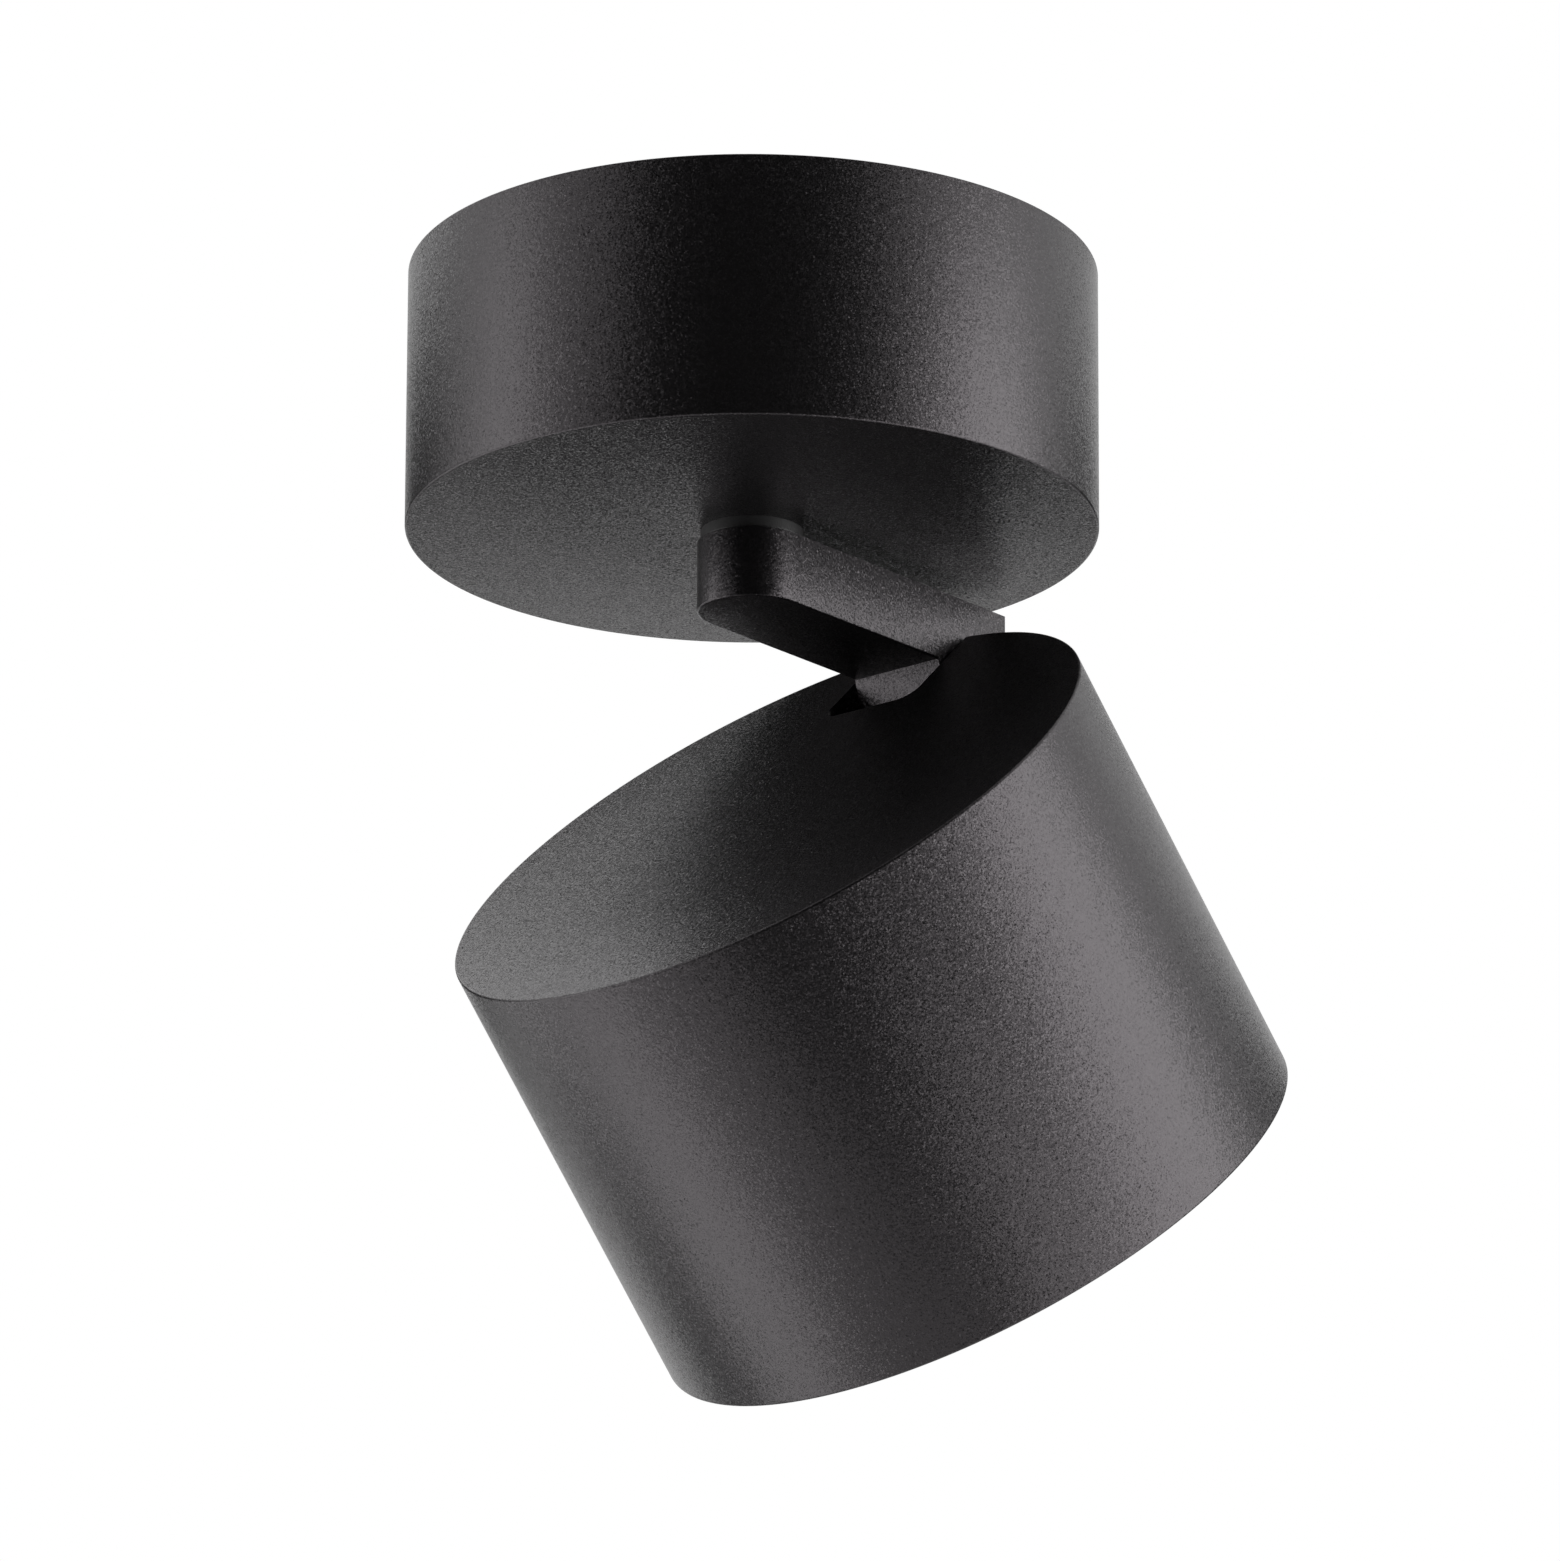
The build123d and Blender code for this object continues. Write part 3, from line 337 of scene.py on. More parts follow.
FINISHES: dict[Slot, Surface] = {
    Slot.BLACK_COAT: Finish(
        "black powder coat",
        (0.006, 0.0057, 0.006),
        (0.018, 0.0172, 0.018),
        (0.28, 0.34),
        gloss_tint=(1.0, 0.92, 0.97),
        grain=0.5 * MM,
        bump_depth=0.05 * MM,
        bump_strength=1.0,
        fleck=0.18 * MM,
        fleck_tilt=0.19,
    ),
    Slot.BLACK_NYLON: Finish(
        "black nylon", (0.022, 0.0215, 0.022), (0.018, 0.0175, 0.018), (0.5, 0.6), grain=0.3 * MM
    ),
    Slot.NATURAL_NYLON: Finish(
        "natural nylon", (0.72, 0.7, 0.64), (0.68, 0.65, 0.58), (0.4, 0.5), grain=0.4 * MM
    ),
    Slot.ZINC_STEEL: Finish(
        "zinc plated steel",
        (0.62, 0.63, 0.64),
        (0.55, 0.57, 0.6),
        (0.24, 0.4),
        metallic=1.0,
        grain=0.25 * MM,
    ),
    Slot.DARK_STEEL: Finish(
        "blackened steel",
        (0.06, 0.06, 0.065),
        (0.045, 0.045, 0.05),
        (0.34, 0.48),
        metallic=1.0,
        grain=0.25 * MM,
    ),
    Slot.BRASS: Finish(
        "brass", (0.72, 0.55, 0.26), (0.64, 0.47, 0.2), (0.22, 0.36), metallic=1.0, grain=0.25 * MM
    ),
    Slot.RAW_ALUMINIUM: Finish(
        "raw aluminium", (0.72, 0.73, 0.74), (0.66, 0.67, 0.69), (0.3, 0.45), metallic=1.0, grain=0.4 * MM
    ),
    Slot.MIRROR_ALUMINIUM: Finish(
        "polished aluminium",
        (0.86, 0.86, 0.87),
        (0.83, 0.83, 0.85),
        (0.07, 0.13),
        metallic=1.0,
        grain=1.2 * MM,
        bump_depth=0.01 * MM,
        bump_strength=0.15,
    ),
    Slot.BLACK_RUBBER: Finish(
        "black rubber", (0.03, 0.03, 0.03), (0.04, 0.04, 0.04), (0.7, 0.85), grain=0.3 * MM
    ),
    Slot.WHITE_PLASTIC: Finish(
        "white plastic", (0.8, 0.8, 0.78), (0.77, 0.77, 0.74), (0.38, 0.5), grain=0.35 * MM
    ),
    Slot.CIRCUIT_BOARD: Finish(
        "circuit board", (0.05, 0.22, 0.1), (0.04, 0.17, 0.08), (0.3, 0.45), grain=0.3 * MM
    ),
    Slot.FERRITE: Finish(
        "ferrite", (0.09, 0.085, 0.08), (0.07, 0.065, 0.06), (0.6, 0.8), grain=0.3 * MM
    ),
    Slot.CAPACITOR_SLEEVE: Finish(
        "capacitor sleeve", (0.04, 0.05, 0.09), (0.03, 0.04, 0.08), (0.15, 0.25), grain=0.5 * MM
    ),
    Slot.THERMAL_PAD: Finish(
        "thermal pad", (0.45, 0.48, 0.52), (0.4, 0.43, 0.47), (0.75, 0.9), grain=0.3 * MM
    ),
    Slot.LIGHT_BOARD: Finish(
        "light board", (0.86, 0.86, 0.84), (0.82, 0.82, 0.8), (0.3, 0.42), grain=0.3 * MM
    ),
    Slot.PHOSPHOR: Finish(
        "phosphor", (0.92, 0.7, 0.16), (0.88, 0.64, 0.12), (0.35, 0.5), grain=0.2 * MM
    ),
    Slot.CLEAR_GLASS: ClearGlass(),
}
PALE_FLOOR = Finish(
    "pale floor", (0.86, 0.86, 0.86), (0.84, 0.84, 0.84), (0.7, 0.8), grain=4 * MM, mottle=400 * MM
)
BLACK_CLOTH = Finish(
    "black cloth", (0.004, 0.004, 0.004), (0.003, 0.003, 0.003), (0.9, 1.0), specular=0.0
)


def same(values: Iterable[float], wanted: float) -> bool:
    """Whether all the values lie at one place."""
    return all(abs(value - wanted) < NEAR for value in values)


class Bench:
    """Modelling steps with Blender's operators. Those in object mode leave nothing selected."""

    @staticmethod
    def clear() -> None:
        """Deselects every object."""
        bpy.ops.object.select_all(action="DESELECT")

    @staticmethod
    def activate(piece: bpy.types.Object) -> None:
        """Selects one piece alone and makes it active.

        Args:
            piece: The piece.
        """
        Bench.clear()
        piece.select_set(True)
        bpy.context.view_layer.objects.active = piece

    @staticmethod
    def settle(name: str) -> bpy.types.Object:
        """Names the primitive just added and puts its place into its mesh.

        Args:
            name: Name of the object.

        Returns:
            The primitive.
        """
        piece = bpy.context.object
        piece.name = name
        bpy.ops.object.transform_apply(location=True, rotation=True, scale=True)
        Bench.clear()
        return piece

    @staticmethod
    def edit(piece: bpy.types.Object) -> None:
        """Enters edit mode on one piece, with all of it selected.

        Args:
            piece: The piece.
        """
        Bench.activate(piece)
        bpy.ops.object.mode_set(mode="EDIT")
        bpy.ops.mesh.select_all(action="SELECT")

    @staticmethod
    def leave() -> None:
        """Goes back to object mode and deselects."""
        bpy.ops.object.mode_set(mode="OBJECT")
        Bench.clear()

    @staticmethod
    def pick_faces(piece: bpy.types.Object, test: Callable[[bmesh.types.BMFace], bool]) -> None:
        """Selects the faces that pass a test, in edit mode.

        Args:
            piece: Piece in edit mode.
            test: Says whether a face is wanted.
        """
        bpy.ops.mesh.select_mode(type="FACE")
        bpy.ops.mesh.select_all(action="DESELECT")
        for face in bmesh.from_edit_mesh(piece.data).faces:
            if test(face):
                face.select_set(True)
        bmesh.update_edit_mesh(piece.data)

    @staticmethod
    def pick_edges(piece: bpy.types.Object, test: Callable[[Vector, Vector], bool]) -> None:
        """Selects the edges whose two ends pass a test, in edit mode.

        Args:
            piece: Piece in edit mode.
            test: Takes the edge's two ends and says whether it is wanted.
        """
        bpy.ops.mesh.select_mode(type="EDGE")
        bpy.ops.mesh.select_all(action="DESELECT")
        edges = bmesh.from_edit_mesh(piece.data).edges
        wanted = [edge for edge in edges if test(edge.verts[0].co, edge.verts[1].co)]
        for edge in wanted:
            edge.select_set(True)
        bmesh.update_edit_mesh(piece.data)

    @staticmethod
    def bevel(width: float, steps: int) -> None:
        """Rounds the selected edges, in edit mode."""
        bpy.ops.mesh.bevel(offset=width, segments=steps, profile=0.5, affect="EDGES", clamp_overlap=True)

    @staticmethod
    def weld() -> None:
        """Merges doubles, turns the faces outwards and leaves edit mode."""
        bpy.ops.mesh.select_all(action="SELECT")
        bpy.ops.mesh.remove_doubles(threshold=WELD)
        bpy.ops.mesh.normals_make_consistent(inside=False)
        Bench.leave()

    @staticmethod
    def block(name: str, low: Place, high: Place) -> bpy.types.Object:
        """Adds a cuboid between two corners, its place in its mesh.

        Args:
            name: Name of the object.
            low: Lowest corner.
            high: Highest corner.

        Returns:
            The cuboid.
        """
        Bench.clear()
        middle = [(a + b) / 2 for a, b in zip(low, high)]
        bpy.ops.mesh.primitive_cube_add(size=1.0, location=middle)
        bpy.context.object.scale = [b - a for a, b in zip(low, high)]
        return Bench.settle(name)

    @staticmethod
    def rod(
        name: str, radius: float, length: float, middle: Place, turn: Turn, steps: int = HOLE_STEPS
    ) -> bpy.types.Object:
        """Adds a cylinder, its place in its mesh.

        Args:
            name: Name of the object.
            radius: Radius.
            length: Length along its direction.
            middle: Its middle.
            turn: Direction in which it lies.
            steps: Sides of its circle.

        Returns:
            The cylinder.
        """
        Bench.clear()
        bpy.ops.mesh.primitive_cylinder_add(
            vertices=steps, radius=radius, depth=length, location=middle, rotation=turn.value
        )
        return Bench.settle(name)

    @staticmethod
    def combine(piece: bpy.types.Object, tool: bpy.types.Object, how: Joining) -> None:
        """Applies a boolean with a tool and removes the tool.

        Args:
            piece: Piece that is kept.
            tool: Piece that is used up.
            how: Whether the tool is cut out or added.
        """
        Bench.activate(piece)
        change = piece.modifiers.new(how.name, "BOOLEAN")
        change.operation = how.value
        change.solver = "EXACT"
        change.object = tool
        bpy.ops.object.modifier_apply(modifier=change.name)
        used = tool.data
        bpy.data.objects.remove(tool)
        bpy.data.meshes.remove(used)
        Bench.clear()

    @staticmethod
    def lathe(name: str, outline: list[Point], closed: bool) -> bpy.types.Object:
        """Turns an outline about Z by extruding a circle from point to point.

        Args:
            name: Name of the object.
            outline: Radius and height of each point.
            closed: Joins the last ring to the first; otherwise both ends are filled.

        Returns:
            The turned piece.
        """
        Bench.clear()
        radius, height = outline[0]
        fill = "NOTHING" if closed else "NGON"
        extrude = bpy.ops.mesh.extrude_edges_move if closed else bpy.ops.mesh.extrude_region_move
        bpy.ops.mesh.primitive_circle_add(
            vertices=ROUND_STEPS, radius=radius, fill_type=fill, location=(0, 0, height)
        )
        piece = Bench.settle(name)
        Bench.edit(piece)
        bpy.ops.mesh.select_mode(type="EDGE")
        for next_radius, next_height in outline[1:]:
            extrude()
            bpy.ops.transform.translate(value=(0, 0, next_height - height))
            share = next_radius / radius
            bpy.ops.transform.resize(value=(share, share, 1.0), center_override=(0, 0, next_height))
            radius, height = next_radius, next_height
        if closed:
            ends = (outline[0], outline[-1])
            Bench.pick_edges(
                piece,
                lambda a, b: any(
                    same((a.xy.length, b.xy.length), r) and same((a.z, b.z), z) for r, z in ends
                ),
            )
            bpy.ops.mesh.bridge_edge_loops()
        Bench.weld()
        return piece

    @staticmethod
    def smooth(piece: bpy.types.Object) -> None:
        """Shades a piece smooth, but sharp at its corners.

        Args:
            piece: The piece.
        """
        Bench.activate(piece)
        bpy.ops.object.shade_smooth_by_angle(angle=SMOOTH_ANGLE)
        Bench.clear()


def arc(centre: Vector, start: Vector, end: Vector, steps: int) -> list[Point]:
    """Walks along an arc, the short way round.

    Args:
        centre: Centre of the arc.
        start: Its first point.
        end: Its last point.
        steps: Number of steps between them.

    Returns:
        The points, both ends included.
    """
    first = start - centre
    sweep = first.angle_signed(end - centre)
    points: list[Point] = []
    for step in range(steps + 1):
        spoke = first.copy()
        spoke.rotate(Matrix.Rotation(-sweep * step / steps, 2))
        points.append((centre.x + spoke.x, centre.y + spoke.y))
    return points


def rounded(corners: list[Corner], closed: bool) -> list[Point]:
    """Rounds the corners of an outline.

    Args:
        corners: Radius, height and rounding of each corner.
        closed: Whether the last corner is joined to the first.

    Returns:
        The outline's points, with an arc at each corner that has a rounding.
    """
    points: list[Point] = []
    count = len(corners)
    for index, (x, y, radius) in enumerate(corners):
        at_end = not closed and index in (0, count - 1)
        if radius == 0 or at_end:
            points.append((x, y))
            continue
        here = Vector((x, y))
        before = (Vector(corners[index - 1][:2]) - here).normalized()
        after = (Vector(corners[(index + 1) % count][:2]) - here).normalized()
        half = before.angle(after) / 2
        centre = here + (before + after).normalized() * (radius / math.sin(half))
        length = radius / math.tan(half)
        points += arc(centre, here + before * length, here + after * length, CORNER_STEPS)
    return points


def place(piece: bpy.types.Object, body: Body, slot: Slot, node: str) -> bpy.types.Object:
    """Dresses a finished piece and sets it in the frame.

    Args:
        piece: The finished piece.
        body: Body that it moves with.
        slot: Slot that it takes its finish from.
        node: CAD node that it stands for.

    Returns:
        The same piece.
    """
    Bench.smooth(piece)
    piece.data.materials.clear()
    piece.data.materials.append(FINISHES[slot].material())
    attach(piece, body.value)
    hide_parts(node)
    return piece


@dataclass
class Canopy:
    """Round cup at the ceiling and the bush under it."""

    radius: float = 50.0 * MM
    height: float = 39.0 * MM
    wall: float = 2.5 * MM
    floor: float = 3.5 * MM
    edge: float = 0.4 * MM
    rim_edge: float = 0.15 * MM
    bore: float = 6.28 * MM
    lock_hole: float = 2.2 * MM
    hook_hole: float = 2.0 * MM
    hook_depth: float = 1.5 * MM
    lock_drop: float = 8.0 * MM
    flange_radius: float = 7.4 * MM
    flange_thickness: float = 1.8 * MM
    flange_edge: float = 0.35 * MM
    sleeve_radius: float = 6.25 * MM
    sleeve_bore: float = 5.05 * MM

    def build(self) -> list[bpy.types.Object]:
        """Builds the cup and the bush, and returns them."""
        return [self.cup(), self.bush()]

    def cup(self) -> bpy.types.Object:
        """Turns the cup and drills the holes of its lock screw and hook pin.

        Returns:
            The cup.
        """
        low, floor_top, inner = -self.height, self.floor - self.height, self.radius - self.wall
        outline = rounded(
            [
                (self.bore, low, 0.0),
                (self.radius, low, self.edge),
                (self.radius, 0.0, self.rim_edge),
                (inner, 0.0, self.rim_edge),
                (inner, floor_top, 0.0),
                (self.bore, floor_top, 0.0),
            ],
            True,
        )
        piece = Bench.lathe("canopy_shell", outline, True)
        length = self.wall + 2 * CUT_OVER
        middle = (self.radius - self.wall / 2, 0, -self.lock_drop)
        drill = Bench.rod("lock_drill", self.lock_hole, length, middle, Turn.ALONG_X)
        Bench.combine(piece, drill, Joining.CUT)
        length = self.hook_depth + CUT_OVER
        middle = (-(inner + self.hook_depth - length / 2), 0, -self.lock_drop)
        drill = Bench.rod("hook_drill", self.hook_hole, length, middle, Turn.ALONG_X)
        Bench.combine(piece, drill, Joining.CUT)
        return place(piece, Body.CANOPY, Slot.BLACK_COAT, "canopy_cup")

    def bush(self) -> bpy.types.Object:
        """Turns the flanged bush that shows between canopy and arm.

        Returns:
            The bush.
        """
        low, high = -self.height - self.flange_thickness, self.floor - self.height
        outline = rounded(
            [
                (self.sleeve_bore, low, 0.0),
                (self.flange_radius, low, self.flange_edge),
                (self.flange_radius, -self.height, 0.0),
                (self.sleeve_radius, -self.height, 0.0),
                (self.sleeve_radius, high, 0.0),
                (self.sleeve_bore, high, 0.0),
            ],
            True,
        )
        piece = Bench.lathe("swivel_spacer", outline, True)
        return place(piece, Body.CANOPY, Slot.BLACK_NYLON, "swivel_bush")


@dataclass
class Arm:
    """Flat bar, round at the swivel, with a knuckle that goes down into the head."""

    half_width: float = 7.85 * MM
    top: float = -40.85 * MM
    bottom: float = -51.35 * MM
    reach: float = 48.5 * MM
    swivel_steps: int = 32
    knuckle_front: float = 32.8 * MM
    knuckle_low: float = -66.6 * MM
    nose_round: float = 4.4 * MM
    heel_round: float = 5.0 * MM
    knuckle_steps: int = 12
    lean: float = math.radians(15)
    end_round: float = 1.0 * MM
    end_steps: int = 5
    edge: float = 0.35 * MM
    edge_steps: int = 4
    hinge_x: float = 37.2 * MM
    hinge_z: float = -62.2 * MM
    hinge_bore: float = 3.08 * MM
    stud_bore: float = 5.03 * MM
    stud_depth: float = 5.0 * MM
    groove_half: float = 3.0 * MM
    groove_depth: float = 7.4 * MM
    cover_half: float = 4.23 * MM
    cover_start: float = 7.67 * MM
    cover_depth: float = 1.2 * MM
    cover_end: float = 46.28 * MM
    groove_end: float = 45.25 * MM
    lead_hole: float = 2.0 * MM
    bridge_half: float = 3.0 * MM
    bridge_drop: float = 3.0 * MM
    screw_hole: float = 1.03 * MM
    screw_depth: float = 2.2 * MM

    def build(self) -> list[bpy.types.Object]:
        """Shapes the bar, cuts its hollows and dresses it.

        Returns:
            The arm alone.
        """
        piece = self.bar()
        self.round_edges(piece)
        self.cut_waist(piece)
        self.cut_hollows(piece)
        return [place(piece, Body.ARM, Slot.BLACK_COAT, "swivel_arm")]

    def bar(self) -> bpy.types.Object:
        """Extrudes the knuckle down from the end of a cuboid.

        Returns:
            The square-edged bar.
        """
        half, front = self.half_width, self.knuckle_front
        piece = Bench.block("arm_bar", (-half, -half, self.bottom), (self.reach, half, self.top))
        Bench.edit(piece)
        bpy.ops.mesh.bisect(plane_co=(front, 0, 0), plane_no=(1, 0, 0))
        Bench.pick_faces(
            piece, lambda face: face.normal.z < FACES_DOWN and face.calc_center_median().x > front
        )
        drop = self.knuckle_low - self.bottom
        bpy.ops.mesh.extrude_region_move(TRANSFORM_OT_translate={"value": (0, 0, drop)})
        Bench.leave()
        return piece

    def round_edges(self, piece: bpy.types.Object) -> None:
        """Rounds the knuckle, the bar's two ends and its lower rim.

        Args:
            piece: The square-edged bar.
        """
        low, half = self.knuckle_low, self.half_width
        Bench.edit(piece)
        for x, width in ((self.knuckle_front, self.nose_round), (self.reach, self.heel_round)):
            Bench.pick_edges(piece, lambda a, b, x=x: same((a.x, b.x), x) and same((a.z, b.z), low))
            Bench.bevel(width, self.knuckle_steps)
        Bench.pick_edges(piece, lambda a, b: same((a.x, b.x), -half) and abs(a.z - b.z) > NEAR)
        Bench.bevel(half - NEAR, self.swivel_steps)
        Bench.pick_edges(piece, self.is_end_corner)
        Bench.bevel(self.end_round, self.end_steps)
        Bench.pick_edges(piece, self.is_lower_rim)
        Bench.bevel(self.edge, self.edge_steps)
        Bench.weld()

    def is_end_corner(self, a: Vector, b: Vector) -> bool:
        """Finds the edges along the far end's sides, down over the heel.

        Args:
            a: One end of the edge.
            b: Its other end.

        Returns:
            Whether it is such an edge.
        """
        on_side = same((abs(a.y), abs(b.y)), self.half_width) and abs(a.y - b.y) < NEAR
        past_heel = min(a.x, b.x) > self.reach - self.heel_round - NEAR
        on_end = same((a.x, b.x), self.reach)
        on_heel = past_heel and max(a.z, b.z) < self.knuckle_low + self.heel_round + NEAR
        return on_side and (on_end or on_heel) and (a - b).length > NEAR

    def is_lower_rim(self, a: Vector, b: Vector) -> bool:
        """Finds the edges round the bar's flat underside, in front of the knuckle.

        Args:
            a: One end of the edge.
            b: Its other end.

        Returns:
            Whether it is such an edge.
        """
        level = same((a.z, b.z), self.bottom)
        across_knuckle = same((a.x, b.x), self.knuckle_front)
        in_front = max(a.x, b.x) < self.knuckle_front + NEAR
        return level and in_front and not across_knuckle

    def cut_waist(self, piece: bpy.types.Object) -> None:
        """Leans the knuckle's front back under the bar, as far down as the barrel of its hinge.

        Args:
            piece: The rounded bar.
        """
        wide = self.half_width + CUT_OVER
        depth = (self.bottom - self.hinge_z) / math.cos(self.lean)
        tool = Bench.block("waist_cutter", (-3 * CUT_OVER, -wide, -depth), (0, wide, 0))
        corner = Matrix.Translation((self.knuckle_front, 0, self.bottom))
        tool.data.transform(corner @ Matrix.Rotation(-self.lean, 4, "Y"))
        hinge = (self.hinge_x, 0, self.hinge_z)
        barrel = Bench.rod("barrel", self.nose_round, 3 * wide, hinge, Turn.ALONG_Y, 2 * HOLE_STEPS)
        Bench.combine(tool, barrel, Joining.CUT)
        Bench.combine(piece, tool, Joining.CUT)

    def cut_hollows(self, piece: bpy.types.Object) -> None:
        """Cuts the stud's hole, the lead groove, the cover's seat and the hinge's bore.

        Args:
            piece: The rounded bar.
        """
        over = self.top + CUT_OVER
        groove_low, groove_end = self.top - self.groove_depth, self.groove_end
        cover_low = self.top - self.cover_depth
        bridge_x = (self.cover_start + self.cover_end) / 2
        bridge_near, bridge_far = bridge_x - self.bridge_half, bridge_x + self.bridge_half
        bridge_low = cover_low - self.bridge_drop
        half, seat = self.groove_half, self.cover_half
        lead_x, lead_low = groove_end - self.lead_hole, self.knuckle_low - CUT_OVER
        hinge, across = (self.hinge_x, 0, self.hinge_z), 2 * (self.half_width + CUT_OVER)

        def upright(name: str, radius: float, low: float, high: float, x: float) -> bpy.types.Object:
            """Upright drill between two heights."""
            return Bench.rod(name, radius, high - low, (x, 0, (low + high) / 2), Turn.ALONG_Z)

        tools = [
            upright("stud_drill", self.stud_bore, self.top - self.stud_depth, over, 0.0),
            upright("groove_drill", half, groove_low, over, 0.0),
            Bench.block("groove_near", (0, -half, groove_low), (bridge_near, half, over)),
            Bench.block("groove_far", (bridge_far, -half, groove_low), (groove_end, half, over)),
            Bench.block("groove_under", (0, -half, groove_low), (groove_end, half, bridge_low)),
            Bench.block("cover_seat", (self.cover_start, -seat, cover_low), (self.cover_end, seat, over)),
            upright("lead_drill", self.lead_hole, lead_low, groove_low + CUT_OVER, lead_x),
            upright("screw_drill", self.screw_hole, cover_low - self.screw_depth, over, bridge_x),
            Bench.rod("hinge_drill", self.hinge_bore, across, hinge, Turn.ALONG_Y),
        ]
        for tool in tools:
            Bench.combine(piece, tool, Joining.CUT)


@dataclass
class Head:
    """Round lamp head, modelled level and then tilted about its hinge."""

    radius: float = 50.0 * MM
    top: float = -51.95 * MM
    height: float = 68.7 * MM
    wall: float = 2.5 * MM
    roof: float = 3.0 * MM
    edge: float = 0.4 * MM
    hinge_x: float = 37.2 * MM
    hinge_z: float = -62.2 * MM
    tilt: float = math.radians(44.1)
    notch_start: float = 31.1 * MM
    notch_half: float = 8.4 * MM
    notch_depth: float = 22.35 * MM
    notch_corner: float = 3.0 * MM
    notch_steps: int = 10
    post_radius: float = 4.0 * MM
    post_circle: float = 40.0 * MM
    post_low: float = -78.95 * MM
    post_angles: tuple[float, ...] = (60.0, 180.0, 300.0)
    ring_low: float = -119.85 * MM
    ring_outer: float = 47.47 * MM
    ring_opening: float = 40.0 * MM
    ring_lip: float = 2.0 * MM
    ring_edge: float = 0.2 * MM
    spanner_width: float = 2.5 * MM
    spanner_depth: float = 1.5 * MM
    glass_low: float = -114.35 * MM
    glass_high: float = -111.35 * MM
    glass_edge: float = 0.3 * MM
    optic_radius: float = 46.5 * MM
    reflector_foot: float = 9.5 * MM
    reflector_top: float = -88.95 * MM
    reflector_front: float = -110.55 * MM
    reflector_waist: Point = (27.495 * MM, -96.35 * MM)
    reflector_shell: float = 1.4 * MM
    reflector_steps: int = 24

    def build(self) -> list[bpy.types.Object]:
        """Builds the housing, the front ring, the glass and the reflector, and returns them."""
        return [self.housing(), self.front_ring(), self.glass(), self.reflector()]

    def set_in(self, piece: bpy.types.Object, slot: Slot, node: str) -> bpy.types.Object:
        """Turns a level piece to the tilt at which the head rests, in its mesh, and places it.

        Args:
            piece: The finished piece, level.
            slot: Slot that it takes its finish from.
            node: CAD node that it stands for.

        Returns:
            The same piece.
        """
        hinge = Vector((self.hinge_x, 0, self.hinge_z))
        turn = Matrix.Translation(hinge) @ Matrix.Rotation(-self.tilt, 4, "Y") @ Matrix.Translation(-hinge)
        piece.data.transform(turn)
        return place(piece, Body.HEAD, slot, node)

    def housing(self) -> bpy.types.Object:
        """Turns the housing, sets its posts and cuts its notch.

        Returns:
            The housing.
        """
        low, inner, roof = self.top - self.height, self.radius - self.wall, self.top - self.roof
        outline = rounded(
            [
                (inner, roof, 0.0),
                (inner, low, self.edge / 2),
                (self.radius, low, self.edge),
                (self.radius, self.top, self.edge),
                (self.radius / 2, self.top, 0.0),
            ],
            False,
        )
        piece = Bench.lathe("head_shell", outline, False)
        # The posts reach halfway into the roof, so that they join it.
        high = roof + self.roof / 2
        for angle in self.post_angles:
            x = self.post_circle * math.cos(math.radians(angle))
            y = self.post_circle * math.sin(math.radians(angle))
            middle = (x, y, (high + self.post_low) / 2)
            post = Bench.rod("post", self.post_radius, high - self.post_low, middle, Turn.ALONG_Z)
            Bench.combine(piece, post, Joining.ADD)
        Bench.combine(piece, self.notch(), Joining.CUT)
        return self.set_in(piece, Slot.BLACK_COAT, "head_housing")

    def notch(self) -> bpy.types.Object:
        """Makes the notch's cutter: a block with its two inner corners rounded.

        Returns:
            The cutter.
        """
        start, half = self.notch_start, self.notch_half
        tool = Bench.block(
            "notch_cutter",
            (start, -half, self.top - self.notch_depth),
            (self.radius + CUT_OVER, half, self.top + CUT_OVER),
        )
        Bench.edit(tool)
        Bench.pick_edges(tool, lambda a, b: same((a.x, b.x), start) and abs(a.z - b.z) > NEAR)
        Bench.bevel(self.notch_corner, self.notch_steps)
        Bench.leave()
        return tool

    def front_ring(self) -> bpy.types.Object:
        """Turns the screw-in ring and cuts its spanner slots.

        Returns:
            The ring.
        """
        lip = self.ring_outer - self.ring_lip
        outline = rounded(
            [
                (self.ring_opening, self.glass_low, 0.0),
                (lip, self.ring_low, self.ring_edge),
                (self.ring_outer, self.ring_low, self.ring_edge),
                (self.ring_outer, self.glass_low, 0.0),
            ],
            True,
        )
        piece = Bench.lathe("front_trim", outline, True)
        half = self.spanner_width / 2
        start, end = lip - CUT_OVER, self.ring_outer - self.ring_lip / 3
        low, high = self.ring_low - CUT_OVER, self.ring_low + self.spanner_depth
        slots = [
            ((start, -half, low), (end, half, high)),
            ((-end, -half, low), (-start, half, high)),
            ((-half, start, low), (half, end, high)),
            ((-half, -end, low), (half, -start, high)),
        ]
        for corner_low, corner_high in slots:
            Bench.combine(piece, Bench.block("spanner_slot", corner_low, corner_high), Joining.CUT)
        return self.set_in(piece, Slot.BLACK_COAT, "front_ring")

